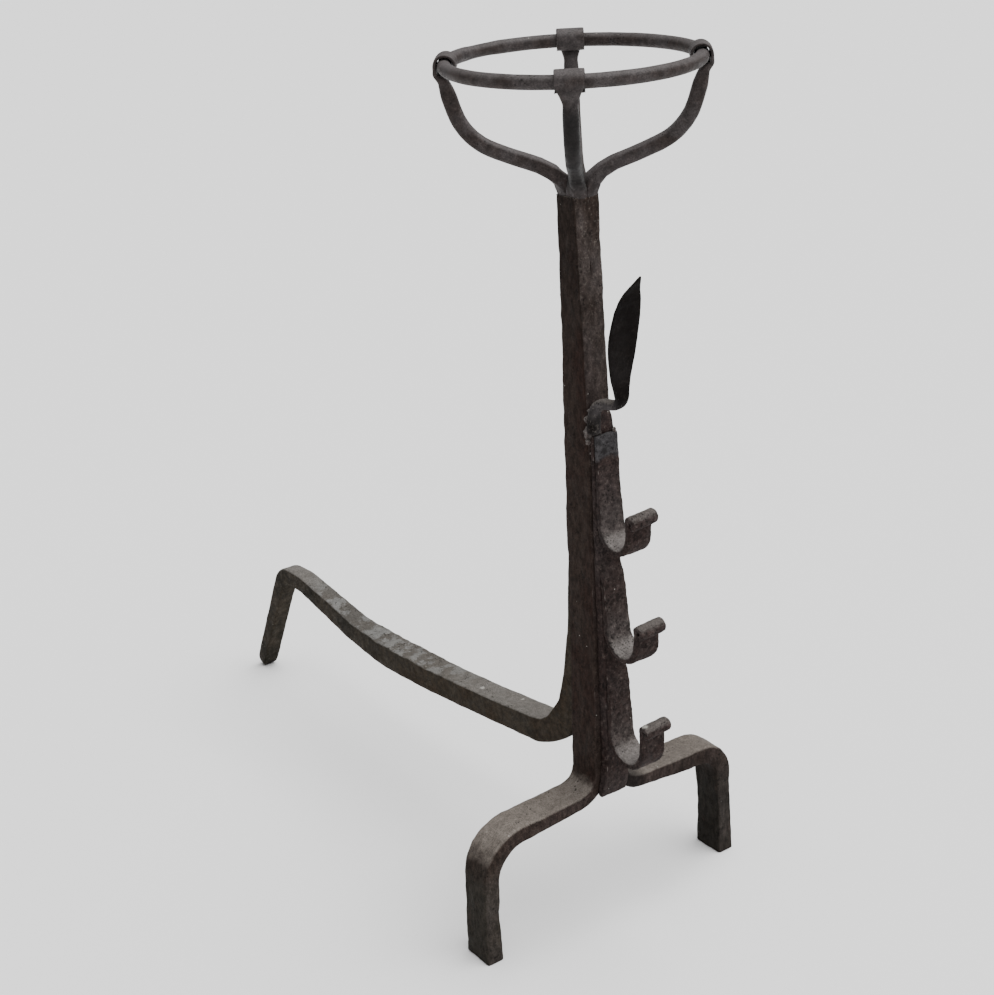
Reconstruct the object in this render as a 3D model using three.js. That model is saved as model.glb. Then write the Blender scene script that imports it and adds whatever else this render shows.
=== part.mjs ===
// A hand-forged hearth andiron with three spit hooks on its front and a basket ring on top.
// Millimetres, +Z up. The column stands on the Z axis, the hooks face -Y and the log bar runs to +Y.
import * as THREE from "three";

// ---------------------------------------------------------------- driving sizes
const GAP = 0.3; // clearance kept between pieces that touch on the real object
const ARC_STEP = Math.PI / 12; // largest turn between two sections of a bend
const SAME_POINT = 0.02; // samples closer than this are one
const EDGE = 1.4; // worn chamfer along the edges of a flat bar
const THIN_EDGE = 0.8; // the same where a bar is drawn out thin
const EDGE_LIMIT = 0.95; // a chamfer takes no more than this share of half the section
const OCTAGON_EDGE = 1 - Math.SQRT1_2; // chamfer of an even octagon, as a share of its width

// Column: two bars forged back to back, square at the head and deeper below.
const HEAD_Z = 690; // height where the column splits into the basket arms
const HEAD_SIDE = 24.4;
const WAIST_Z = 560;
const WAIST_WIDE = 23.2;
const TAPER_Z = 485; // below this height the column keeps its full depth
const TAPER_WIDE = 24.6;
const SHAFT_Z = 290;
const SHAFT_WIDE = 27.6;
const SPREAD_Z = 200; // the two bars begin to part here
const SPREAD_WIDE = 29.6;
const COLUMN_DEEP = 34;
const COLUMN_SET = -1.6; // the deep part stands this far towards the front

// Front feet: each column bar turns outward, runs level and turns down.
const FOOT_REACH = 152.2; // from the column's axis to the outer edge of a sole
const BAR_TOP_Z = 130;
const BAR_THICK = 18.7;
const CROTCH_THICK = 10.8;
const CROTCH_RISE = 1; // the thin part's top lies this much above the full bar's top
const CROTCH_OUT = 12.4; // from the axis to a bar's middle where it starts to turn out
const CROTCH_BEND = 26;
const NECK_OUT = 50; // the bar is still thin here and full by the shoulder
const NECK_THICK = 13.4;
const NECK_RISE = 0.6;
const BELLY_OUT = 90;
const BELLY_THICK = 17.4;
const SHOULDER_BEND = 34.5;
const LEG_THICK = 14.6;
const LEG_DEEP = 31;
const LEG_LEAN = 3.2; // how far the leg leans outward between shoulder and sole
const CALF_Z = 48.3; // height of the leg's thinnest section
const CALF_LEAN = 0.8; // what is left of the lean at that height
const SOLE_THICK = 18;

// Spine: the flat bar on the column's front that carries the hooks.
const SPINE_WIDE = 24;
const SPINE_TOP_Z = 511;
const SPINE_TIP_WIDE = 12;
const SPINE_NECK_WIDE = 14;
const SPINE_TIP_SET = 3.6; // the drawn-out tip lies to the right of the leaf's stem
const SPINE_FOOT_Z = 128;
const SPINE_FOOT_WIDE = 20;
const SPINE_TIP_THICK = 2.4;
const SPINE_NECK_THICK = 3.4;
const SPINE_UPPER_THICK = 4.5;
const SPINE_MIDDLE_THICK = 7;
const SPINE_LOWER_THICK = 10;
const SPINE_FOOT_THICK = 5;
const SPINE_UPPER_Z = 440;
const SPINE_MIDDLE_Z = 344;
const SPINE_LOWER_Z = 296;
const SPINE_HEEL_Z = 160;

// Hooks: flat straps turned up into a trough, with the lip rolled outward.
const STRAP_WIDE = 26;
const LIP_WIDE = 24;
const STRAP_TIP_THICK = 4.2;
const STRAP_THICK = 5;
const STRAP_CLEAR = 5; // no section lies closer than this to a strap's tip or to its bend
const STRAP_TIP_WIDE = 21;
const TROUGH_THICK = 7;
const LIP_THICK = 5.6;
const ROLL_THICK = 3.8;
const ROLL_RADIUS = 4.6; // of the rolled lip's middle line
const LIP_EDGE = 1;
const LIP_LEAN = 3;
const HOOKS = [
  { name: "hook_top", strapTop: 485, floor: 387.5, throat: 30.3, tip: 425 },
  { name: "hook_middle", strapTop: 366, floor: 285.4, throat: 34.3, tip: 324.4 },
  { name: "hook_bottom", strapTop: 262, floor: 179.3, throat: 38.6, tip: 227.2 },
];

// Log bar: drawn out to a leaf on the column's back, cranked, sagging and turned down at the rear.
const LEAF_TOP_Z = 395;
const LEAF_TIP_THICK = 1.4;
const LEAF_TIP_WIDE = 19.4;
const LEAF_TIP_EDGE = 0.6;
const LOG_WIDE = 27.4;
const LEAF = [
  { up: 324, thick: 2.2 },
  { up: 284, thick: 5.1 },
  { up: 239, thick: 13.9 },
  { up: 215, thick: 20 },
  { up: 200, thick: 25 },
];
// The crank's distances run back from the column's rear face.
const CRANK = [
  { back: 20, up: 183, thick: 31 },
  { back: 35, up: 169, thick: 24.4 },
  { back: 50, up: 160.2, thick: 22.6 },
];
// The rest runs back from the Z axis.
const LOG_BAR = [
  { out: 82, up: 156.5, thick: 21.2, wide: LOG_WIDE },
  { out: 150, up: 148.3, thick: 19.8, wide: LOG_WIDE },
  { out: 270, up: 136, thick: 20.6, wide: LOG_WIDE },
  { out: 362, up: 130.4, thick: 20.8, wide: LOG_WIDE, bend: 260 },
  { out: 424, up: 132.4, thick: 18, wide: 22, bend: 120 },
  { out: 480, up: 141.8, thick: 16.6, wide: 18.6 },
];
const REAR_WIDE = 17;
const REAR_THICK = 15.8;
const REAR_RISE_OUT = 535;
const REAR_RISE_Z = 152;
const REAR_CORNER_OUT = 577.5;
const REAR_CORNER_Z = 151.5;
const REAR_CORNER_BEND = 23;
const REAR_KNEE_OUT = 626.5;
const REAR_KNEE_Z = 58;
const REAR_FOOT_OUT = 655;
const REAR_LEG_THICK = 14.4;
const REAR_SOLE_THICK = 14;

// Basket: four arms that carry a round ring in rolled eyes.
const BASKET_RISE = 110; // from the column's head to the ring
const ARMS = [
  { name: "basket_arm_rear", azimuth: 52.8 },
  { name: "basket_arm_left", azimuth: 141.3 },
  { name: "basket_arm_front", azimuth: 230.2 },
  { name: "basket_arm_right", azimuth: 321.3 },
];
const RING_RADIUS = 104.5;
const RING_ROD = 11;
const RING_FACETS = 12;
const RING_STEPS = 64;
const EYE_PLAY = 1.6; // between the ring's rod and an eye
const EYE_LIFT = 0.6; // the loose ring rests low in its eyes
const EYE_SET = 0.8; // and against their outer side
const EYE_THICK = 2.5;
const EYE_WIDE = 23;
const EYE_EDGE = 0.7;
const EYE_OVERLAP = 2; // the rolled end runs on past the ring's rod by this much
const ARM_ROD = 11;
const ARM_ROOT_ROD = 12;
const ARM_ROOT_FLAT = 0.5; // flat left at each corner of the quarter that the arm grows from
const ARM_ROOT_RISE = 15;
const ARM_ROOT_BEND = 14;
const ARM_ARCH = 1; // how far the arm bows up between its root and the bowl
const BOWL_INSET = 13.4; // from the ring's radius in to the corner of the bowl
const BOWL_DROP = 60; // from the ring down to the same corner
const BOWL_BEND = 52;
const ARM_TOP_INSET = 2.4; // where the round rod ends below its eye
const ARM_TOP_DROP = 21;
const SCARF_OUT = 2; // where the rod has been flattened on its way to the eye
const SCARF_DROP = 5.2;
const SCARF_THICK = 8.6;
const SCARF_WIDE = 15;
const SCARF_EDGE = 2.2;
const HEEL_THICK = 4.1; // where the flattened end turns up into the eye
const HEEL_RISE = 1;
const HEEL_EDGE = 1;
const HEEL_BEND = 6;

// Leaf finial: a round stem off the column's front, bent up into a flat blade.
const STEM_ROD = 9.4;
const STEM_FOOT_Z = 487.5;
const STEM_RUN_Z = 515.3;
const STEM_SET = -9.2; // the stem is welded to the left of the column's middle
const STEM_BEND = 8;
const ELBOW_BEND = 10;
const ELBOW_THICK = 7.5;
const ELBOW_WIDE = 11.3;
const ELBOW_EDGE = 2;
const ELBOW_OUT = 1; // the elbow lies this far beyond the blade's foot
const ELBOW_RISE = 1;
const BLADE_OUT = 32.2; // from the column's front face to the blade
const BLADE_THICK = 2.8;
const BLADE = [
  { rise: 16.5, wide: 16.7, lean: 0, thick: 5 },
  { rise: 34, wide: 24, lean: 0.1, thick: 3.4 },
  { rise: 51.6, wide: 30, lean: 0.7, thick: BLADE_THICK },
  { rise: 69.4, wide: 30.8, lean: 3.6, thick: BLADE_THICK },
  { rise: 87.2, wide: 27.6, lean: 7.4, thick: BLADE_THICK },
  { rise: 96, wide: 22.4, lean: 10, thick: BLADE_THICK },
  { rise: 105, wide: 13.7, lean: 13.7, thick: BLADE_THICK },
  { rise: 117, wide: 3, lean: 20.2, thick: 2.2 },
];
const BLADE_SWAY = 0.3; // the blade drifts to the right by this share of its lean
const BLADE_EDGE = 0.3; // chamfer, as a share of the blade's thickness

// ---------------------------------------------------------------- finishes
const FINISHES = {
  column: { color: 0x4a3f37, roughness: 0.62, metalness: 0.75 },
  worn: { color: 0x5c544c, roughness: 0.5, metalness: 0.8 },
  ring: { color: 0x453c36, roughness: 0.5, metalness: 0.8 },
};

// ---------------------------------------------------------------- shared helpers
/** Straight-line value of `key` between the stations on either side of `place`. */
function mix(stations, place, key) {
  const last = stations.length - 1;
  const low = Math.min(Math.max(Math.floor(place), 0), last);
  const high = Math.min(low + 1, last);
  return THREE.MathUtils.lerp(stations[low][key], stations[high][key], place - low);
}

/** Fills in what a station leaves out: no bend, a worn edge, on the plane, square to the path. */
function fullStation(station) {
  return { bend: 0, edge: EDGE, shift: 0, level: false, ...station };
}

/** Points along the stations' path, with each corner rounded to its bend radius. */
function roundedPath(stations) {
  const points = stations.map((station) => new THREE.Vector2(station.out, station.up));
  const last = points.length - 1;
  const samples = [{ at: points[0].clone(), place: 0 }];
  for (let i = 1; i < last; i += 1) {
    samples.push(...cornerSamples(points, i, stations[i].bend));
  }
  samples.push({ at: points[last].clone(), place: last });
  return samples.filter((sample, i) => i === 0 || sample.at.distanceTo(samples[i - 1].at) > SAME_POINT);
}

/** The corner at point i: one sample where it is sharp, or an arc tangent to both sides. */
function cornerSamples(points, i, bend) {
  const before = points[i].clone().sub(points[i - 1]);
  const after = points[i + 1].clone().sub(points[i]);
  const into = before.clone().normalize();
  const away = after.clone().normalize();
  const turn = Math.atan2(into.cross(away), into.dot(away));
  if (bend === 0 || Math.abs(turn) < 1e-3) return [{ at: points[i].clone(), place: i }];
  const reach = bend * Math.tan(Math.abs(turn) / 2);
  const start = points[i].clone().addScaledVector(into, -reach);
  const normal = new THREE.Vector2(-into.y, into.x).multiplyScalar(Math.sign(turn));
  const centre = start.clone().addScaledVector(normal, bend);
  const steps = Math.max(2, Math.ceil(Math.abs(turn) / ARC_STEP));
  const samples = [];
  for (let k = 0; k <= steps; k += 1) {
    const share = k / steps;
    const spoke = start.clone().sub(centre).rotateAround(new THREE.Vector2(), turn * share);
    const side = share < 0.5 ? reach / before.length() : reach / after.length();
    samples.push({ at: centre.clone().add(spoke), place: i + (share - 0.5) * 2 * side });
  }
  return samples;
}

/** Unit direction of travel at each sample, averaged from its neighbours. */
function directionAt(samples, i) {
  const before = samples[Math.max(i - 1, 0)].at;
  const here = samples[i].at;
  const after = samples[Math.min(i + 1, samples.length - 1)].at;
  const into = here.clone().sub(before).normalize();
  const away = after.clone().sub(here).normalize();
  return into.add(away).normalize();
}

/** Eight corners of a flat bar's section, as shares across its thickness and width. */
function sectionCorners(thick, wide, edge) {
  const h = thick / 2;
  const w = wide / 2;
  const e = Math.min(edge, h * EDGE_LIMIT, w * EDGE_LIMIT);
  return [
    [h, w - e],
    [h - e, w],
    [e - h, w],
    [-h, w - e],
    [-h, e - w],
    [e - h, -w],
    [h - e, -w],
    [h, e - w],
  ];
}

/** The closed skin over rings of points, with a flat cap on each end. */
function loft(rings) {
  const count = rings[0].length;
  const positions = rings.flat().flatMap((point) => [point.x, point.y, point.z]);
  const faces = [];
  for (let r = 0; r < rings.length - 1; r += 1) {
    for (let k = 0; k < count; k += 1) {
      const a = r * count + k;
      const b = r * count + ((k + 1) % count);
      faces.push([a, b, b + count], [a, b + count, a + count]);
    }
  }
  const top = (rings.length - 1) * count;
  for (let k = 1; k < count - 1; k += 1) {
    faces.push([0, k + 1, k], [top, top + k, top + k + 1]);
  }
  const inward = signedVolume(positions, faces) < 0;
  const index = faces.flatMap(([a, b, c]) => (inward ? [a, c, b] : [a, b, c]));
  const geometry = new THREE.BufferGeometry();
  geometry.setAttribute("position", new THREE.Float32BufferAttribute(positions, 3));
  geometry.setIndex(index);
  geometry.computeVertexNormals();
  return geometry;
}

/** Six times the volume inside the faces; negative when they face inward. */
function signedVolume(positions, faces) {
  const corner = (i) => new THREE.Vector3().fromArray(positions, i * 3);
  return faces.reduce((sum, [a, b, c]) => sum + corner(a).dot(corner(b).cross(corner(c))), 0);
}

/**
 * A forged bar whose path lies in a vertical plane through the Z axis.
 * Each station gives its distance out along `heading`, its height, its thickness in the plane,
 * its width across it and, where it needs them, a bend radius, an edge and a sideways shift.
 */
function forgedBar(heading, rawStations) {
  const stations = rawStations.map(fullStation);
  const outward = new THREE.Vector3(Math.cos(heading), Math.sin(heading), 0);
  const across = new THREE.Vector3(-Math.sin(heading), Math.cos(heading), 0);
  const samples = roundedPath(stations);
  const rings = samples.map((sample, i) => {
    const travel = directionAt(samples, i);
    const level = stations[Math.round(sample.place)].level && Number.isInteger(sample.place);
    const side = level ? new THREE.Vector2(Math.sign(travel.y), 0) : new THREE.Vector2(travel.y, -travel.x);
    const size = (key) => mix(stations, sample.place, key);
    const middle = outward.clone().multiplyScalar(sample.at.x).addScaledVector(across, size("shift"));
    middle.z = sample.at.y;
    return sectionCorners(size("thick"), size("wide"), size("edge")).map(([p, q]) => {
      const point = middle.clone().addScaledVector(outward, p * side.x).addScaledVector(across, q);
      point.z += p * side.y;
      return point;
    });
  });
  return loft(rings);
}

/** A named mesh with its own material. */
function piece(name, geometry, finish) {
  const mesh = new THREE.Mesh(geometry, new THREE.MeshStandardMaterial({ ...FINISHES[finish] }));
  mesh.name = name;
  return mesh;
}

// ---------------------------------------------------------------- column and front feet
/** Depth of the column along Y at a height. */
function columnDeepAt(z) {
  const share = THREE.MathUtils.clamp((z - TAPER_Z) / (HEAD_Z - TAPER_Z), 0, 1);
  return THREE.MathUtils.lerp(COLUMN_DEEP, HEAD_SIDE, share);
}

/** How far the column's middle stands off the Z axis along Y at a height. */
function columnSetAt(z) {
  const share = THREE.MathUtils.clamp((z - TAPER_Z) / (HEAD_Z - TAPER_Z), 0, 1);
  return THREE.MathUtils.lerp(COLUMN_SET, 0, share);
}

/** Distance from the Z axis forward to the column's front face. */
function columnFrontAt(z) {
  return columnDeepAt(z) / 2 - columnSetAt(z);
}

/** Distance from the Z axis back to the column's rear face. */
function columnRearAt(z) {
  return columnDeepAt(z) / 2 + columnSetAt(z);
}

/** A station of one column bar: half of the column's width, less half the gap between the two. */
function halfColumn(z, wide, side) {
  return {
    out: wide / 4 + GAP / 4,
    up: z,
    thick: (wide - GAP) / 2,
    wide: columnDeepAt(z),
    shift: side * columnSetAt(z),
  };
}

/** A station of a foot's level part, given by the height of its top face. */
function footStation(out, topZ, thick) {
  return { out, up: topZ - thick / 2, thick, wide: COLUMN_DEEP };
}

/** One column bar with its front foot; side is 1 for the right bar and -1 for the left. */
function uprightBar(side) {
  const soleOut = FOOT_REACH - SOLE_THICK / 2;
  const shift = side * COLUMN_SET;
  const heading = side > 0 ? 0 : Math.PI;
  return forgedBar(heading, [
    { ...halfColumn(HEAD_Z, HEAD_SIDE, side), level: true },
    halfColumn(WAIST_Z, WAIST_WIDE, side),
    halfColumn(TAPER_Z, TAPER_WIDE, side),
    halfColumn(SHAFT_Z, SHAFT_WIDE, side),
    halfColumn(SPREAD_Z, SPREAD_WIDE, side),
    { ...footStation(CROTCH_OUT, BAR_TOP_Z + CROTCH_RISE, CROTCH_THICK), shift, bend: CROTCH_BEND },
    { ...footStation(NECK_OUT, BAR_TOP_Z + NECK_RISE, NECK_THICK), shift },
    { ...footStation(BELLY_OUT, BAR_TOP_Z, BELLY_THICK), shift },
    { ...footStation(soleOut - LEG_LEAN, BAR_TOP_Z, BAR_THICK), shift, bend: SHOULDER_BEND },
    { out: soleOut - CALF_LEAN, up: CALF_Z, thick: LEG_THICK, wide: LEG_DEEP, shift },
    { out: soleOut, up: 0, thick: SOLE_THICK, wide: COLUMN_DEEP, shift, level: true },
  ]);
}

// ---------------------------------------------------------------- spine and hooks
/** The spine's sections from its drawn-out tip down to its foot. */
const SPINE = [
  { up: SPINE_TOP_Z, thick: SPINE_TIP_THICK, wide: SPINE_TIP_WIDE, shift: SPINE_TIP_SET, edge: THIN_EDGE },
  { up: TAPER_Z, thick: SPINE_NECK_THICK, wide: SPINE_NECK_WIDE, shift: SPINE_TIP_SET, edge: THIN_EDGE },
  { up: SPINE_UPPER_Z, thick: SPINE_UPPER_THICK, wide: SPINE_WIDE },
  { up: SPINE_MIDDLE_Z, thick: SPINE_MIDDLE_THICK, wide: SPINE_WIDE },
  { up: SPINE_LOWER_Z, thick: SPINE_LOWER_THICK, wide: SPINE_WIDE },
  { up: SPINE_HEEL_Z, thick: SPINE_LOWER_THICK, wide: SPINE_WIDE },
  { up: SPINE_FOOT_Z, thick: SPINE_FOOT_THICK, wide: SPINE_FOOT_WIDE },
];
const TO_FRONT = -Math.PI / 2;
const TO_REAR = Math.PI / 2;

/** Thickness of the spine at a height. */
function spineThickAt(z) {
  const below = Math.max(1, SPINE.findIndex((level) => level.up <= z));
  const upper = SPINE[below - 1];
  const lower = SPINE[below];
  return THREE.MathUtils.mapLinear(z, upper.up, lower.up, upper.thick, lower.thick);
}

/** Distance from the Z axis forward to the face that carries the hooks. */
function hookSeatAt(z) {
  return columnFrontAt(z) + GAP + spineThickAt(z) + GAP;
}

function spine() {
  return forgedBar(
    TO_FRONT,
    SPINE.map((level) => ({ ...level, out: columnFrontAt(level.up) + GAP + level.thick / 2 })),
  );
}

/** A strap station that lies against the spine. */
function strapStation(z, thick) {
  return { out: hookSeatAt(z) + thick / 2, up: z, thick, wide: STRAP_WIDE };
}

/** One spit hook: strap, round trough, lip and outward roll. */
function spitHook({ strapTop, floor, throat, tip }) {
  const bend = (throat + (TROUGH_THICK + LIP_THICK) / 2) / 2;
  const troughZ = floor - TROUGH_THICK / 2;
  const bendTop = strapStation(troughZ + bend + 1, TROUGH_THICK);
  const strap = SPINE.map((level) => level.up)
    .filter((z) => z < strapTop - STRAP_CLEAR && z > bendTop.up + STRAP_CLEAR)
    .map((z) => strapStation(z, STRAP_THICK));
  const wall = bendTop.out;
  const lip = wall + 2 * bend;
  const rollZ = tip - ROLL_RADIUS - ROLL_THICK / 2;
  const near = lip + LIP_LEAN;
  const far = near + 2 * ROLL_RADIUS;
  const roll = { thick: ROLL_THICK, wide: LIP_WIDE, bend: ROLL_RADIUS, edge: LIP_EDGE };
  return forgedBar(TO_FRONT, [
    { ...strapStation(strapTop, STRAP_TIP_THICK), wide: STRAP_TIP_WIDE },
    ...strap,
    bendTop,
    { out: wall, up: troughZ, thick: TROUGH_THICK, wide: STRAP_WIDE, bend },
    { out: lip, up: troughZ, thick: TROUGH_THICK, wide: STRAP_WIDE, bend },
    { ...roll, out: near, up: rollZ + ROLL_RADIUS, thick: LIP_THICK },
    { ...roll, out: far, up: rollZ + ROLL_RADIUS },
    { ...roll, out: far, up: rollZ - ROLL_RADIUS },
    { ...roll, out: near + ROLL_RADIUS, up: rollZ - ROLL_RADIUS },
  ]);
}

// ---------------------------------------------------------------- log bar
/** A station whose front face lies against the column's back. */
function leafStation(z, thick) {
  return { out: columnRearAt(z) + GAP + thick / 2, up: z, thick, wide: LOG_WIDE };
}

function logBar() {
  const rear = columnRearAt(TAPER_Z) + GAP;
  return forgedBar(TO_REAR, [
    { ...leafStation(LEAF_TOP_Z, LEAF_TIP_THICK), wide: LEAF_TIP_WIDE, edge: LEAF_TIP_EDGE },
    ...LEAF.map(({ up, thick }) => leafStation(up, thick)),
    ...CRANK.map(({ back, up, thick }) => ({ out: rear + back, up, thick, wide: LOG_WIDE })),
    ...LOG_BAR,
    { out: REAR_RISE_OUT, up: REAR_RISE_Z, thick: REAR_THICK, wide: REAR_WIDE },
    { out: REAR_CORNER_OUT, up: REAR_CORNER_Z, thick: REAR_THICK, wide: REAR_WIDE, bend: REAR_CORNER_BEND },
    { out: REAR_KNEE_OUT, up: REAR_KNEE_Z, thick: REAR_LEG_THICK, wide: REAR_WIDE },
    { out: REAR_FOOT_OUT, up: 0, thick: REAR_SOLE_THICK, wide: REAR_WIDE, level: true },
  ]);
}

// ---------------------------------------------------------------- basket
/** A round rod's station: an even octagon. */
function rodStation(out, up, rod, bend = 0) {
  return { out, up, thick: rod, wide: rod, edge: rod * OCTAGON_EDGE, bend };
}

/** One basket arm: a quarter of the column's head, drawn round, bent into a bowl and rolled to an eye. */
function basketArm({ azimuth }) {
  const quarter = HEAD_SIDE / 2;
  const root = (quarter * Math.SQRT2) / 2;
  const rootSize = (quarter - GAP) * Math.SQRT2 - 2 * ARM_ROOT_FLAT;
  const ringZ = HEAD_Z + BASKET_RISE;
  const bowlRise = BASKET_RISE - BOWL_DROP;
  const bend = RING_ROD / 2 + EYE_PLAY + EYE_THICK / 2;
  const eyeOut = RING_RADIUS - EYE_SET;
  const eyeZ = ringZ + EYE_LIFT;
  const foot = { thick: rootSize, wide: rootSize, edge: rootSize / 2 - ARM_ROOT_FLAT, level: true };
  const scarf = { thick: SCARF_THICK, wide: SCARF_WIDE, edge: SCARF_EDGE };
  const heel = { thick: HEEL_THICK, wide: EYE_WIDE, edge: HEEL_EDGE, bend: HEEL_BEND };
  const roll = { thick: EYE_THICK, wide: EYE_WIDE, edge: EYE_EDGE, bend };
  return forgedBar(THREE.MathUtils.degToRad(azimuth), [
    { ...foot, out: root, up: HEAD_Z + GAP },
    rodStation(root, HEAD_Z + ARM_ROOT_RISE, ARM_ROOT_ROD, ARM_ROOT_BEND),
    rodStation(RING_RADIUS / 2, HEAD_Z + (ARM_ROOT_RISE + bowlRise) / 2 + ARM_ARCH, ARM_ROD),
    rodStation(RING_RADIUS - BOWL_INSET, HEAD_Z + bowlRise, ARM_ROD, BOWL_BEND),
    rodStation(RING_RADIUS - ARM_TOP_INSET, ringZ - ARM_TOP_DROP, ARM_ROD),
    { ...scarf, out: eyeOut + SCARF_OUT, up: eyeZ - bend - SCARF_DROP },
    { ...heel, out: eyeOut + bend, up: eyeZ - bend + HEEL_RISE },
    { ...roll, out: eyeOut + bend, up: eyeZ + bend },
    { ...roll, out: eyeOut - bend, up: eyeZ + bend },
    { ...roll, out: eyeOut - bend, up: eyeZ - bend },
    { ...roll, out: eyeOut - EYE_OVERLAP, up: eyeZ - bend },
  ]);
}

/** The loose ring that turns in the four eyes. */
function basketRing() {
  const geometry = new THREE.TorusGeometry(RING_RADIUS, RING_ROD / 2, RING_FACETS, RING_STEPS);
  geometry.translate(0, 0, HEAD_Z + BASKET_RISE);
  return geometry;
}

// ---------------------------------------------------------------- leaf finial
function leafFinial() {
  const stemOut = columnFrontAt(STEM_FOOT_Z) + GAP + STEM_ROD / 2;
  const bladeOut = columnFrontAt(TAPER_Z) + BLADE_OUT;
  const blade = BLADE.map(({ rise, wide, lean, thick }) => ({
    out: bladeOut + lean,
    up: STEM_RUN_Z + rise,
    thick,
    wide,
    shift: lean * BLADE_SWAY,
    edge: thick * BLADE_EDGE,
  }));
  const elbow = { thick: ELBOW_THICK, wide: ELBOW_WIDE, edge: ELBOW_EDGE, bend: ELBOW_BEND };
  return forgedBar(TO_FRONT, [
    { ...rodStation(stemOut, STEM_FOOT_Z, STEM_ROD), shift: STEM_SET, level: true },
    { ...rodStation(stemOut, STEM_RUN_Z, STEM_ROD, STEM_BEND), shift: STEM_SET },
    { ...elbow, out: bladeOut + ELBOW_OUT, up: STEM_RUN_Z + ELBOW_RISE },
    ...blade,
  ]);
}

// ---------------------------------------------------------------- assembly
const andiron = new THREE.Group();
andiron.name = "andiron";
andiron.add(piece("left_upright_bar", uprightBar(-1), "column"));
andiron.add(piece("right_upright_bar", uprightBar(1), "column"));
andiron.add(piece("hook_spine", spine(), "column"));
HOOKS.forEach((hook) => andiron.add(piece(hook.name, spitHook(hook), "worn")));
andiron.add(piece("log_bar", logBar(), "worn"));
ARMS.forEach((arm) => andiron.add(piece(arm.name, basketArm(arm), "ring")));
andiron.add(piece("basket_ring", basketRing(), "ring"));
andiron.add(piece("leaf_finial", leafFinial(), "column"));

// The origin lies on the floor, under the middle of the whole andiron.
const bounds = new THREE.Box3().setFromObject(andiron);
andiron.position.y = -(bounds.min.y + bounds.max.y) / 2;

export default andiron;
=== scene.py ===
"""Dressed model of a tall hand-forged hearth andiron with spit hooks and a basket ring.

Every bar is drawn out, bent and worn in edit mode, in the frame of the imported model. Sizes are in
millimetres, as in a forge's drawing, and become metres where a mesh is made.
"""
import logging
import math
from collections.abc import Callable, Iterator
from contextlib import contextmanager
from dataclasses import dataclass, field, replace
from enum import Enum

import bmesh
import bpy
from mathutils import Matrix, Vector, noise


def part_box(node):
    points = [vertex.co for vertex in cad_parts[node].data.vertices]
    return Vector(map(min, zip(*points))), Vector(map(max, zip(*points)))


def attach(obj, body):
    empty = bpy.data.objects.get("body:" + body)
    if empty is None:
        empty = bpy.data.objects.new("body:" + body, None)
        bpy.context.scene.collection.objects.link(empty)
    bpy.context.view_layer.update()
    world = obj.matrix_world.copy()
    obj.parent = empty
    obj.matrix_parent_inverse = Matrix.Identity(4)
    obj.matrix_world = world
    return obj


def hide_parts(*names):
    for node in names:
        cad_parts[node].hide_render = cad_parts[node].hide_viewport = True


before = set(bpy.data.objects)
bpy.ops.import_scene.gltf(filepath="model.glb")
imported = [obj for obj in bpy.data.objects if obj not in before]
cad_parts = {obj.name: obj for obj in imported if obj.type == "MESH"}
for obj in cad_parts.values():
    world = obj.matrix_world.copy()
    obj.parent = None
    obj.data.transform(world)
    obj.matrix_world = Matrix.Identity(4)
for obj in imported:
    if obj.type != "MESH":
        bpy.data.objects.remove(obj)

LOG = logging.getLogger("andiron")
MM = 0.001
SAME_SPOT = 0.02  # two points of a path closer than this are one
SLACK = 0.01  # a vertex this near to a section belongs to it
NO_TURN = 1e-5  # a bend smaller than this, in radians, is left straight
SHARP = math.radians(35)  # an edge that turns by more than this gets worn
EDGE_SEGMENTS = 3
SOFT_REACH = {
    "use_proportional_edit": True,
    "use_proportional_connected": True,
    "proportional_edit_falloff": "SMOOTH",
    "proportional_size": 14 * MM,
}
Colour = tuple[float, float, float]
Share = Callable[[Vector, Vector], float]
Piece = bpy.types.Object
Socket = bpy.types.NodeSocket


# ---------------------------------------------------------------- stations along a bar
@dataclass(frozen=True)
class Station:
    """One section of a bar, in millimetres, in an upright plane through the column's axis."""

    out: float
    up: float
    thick: float
    wide: float
    bend: float = 0.0
    shift: float = 0.0
    level: bool = False
    twist: float = 0.0


@dataclass
class Section:
    """One ring of the drawn-out bar: its distance along the bar, its slope and its size."""

    along: float
    spot: Vector
    thick: float
    wide: float
    shift: float
    twist: float
    level: bool
    slope: float = 0.0


def blend_between(stations: list[Station], place: float, key: str) -> float:
    """Straight-line value of a size between the stations on either side of a place.

    Args:
        stations: the bar's stations in order.
        place: a station's number, or a share of the way to the next.
        key: the name of the size.

    Returns:
        The size there.
    """
    low = min(max(int(place), 0), len(stations) - 1)
    high = min(low + 1, len(stations) - 1)
    share = place - low
    return getattr(stations[low], key) * (1 - share) + getattr(stations[high], key) * share


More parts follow.
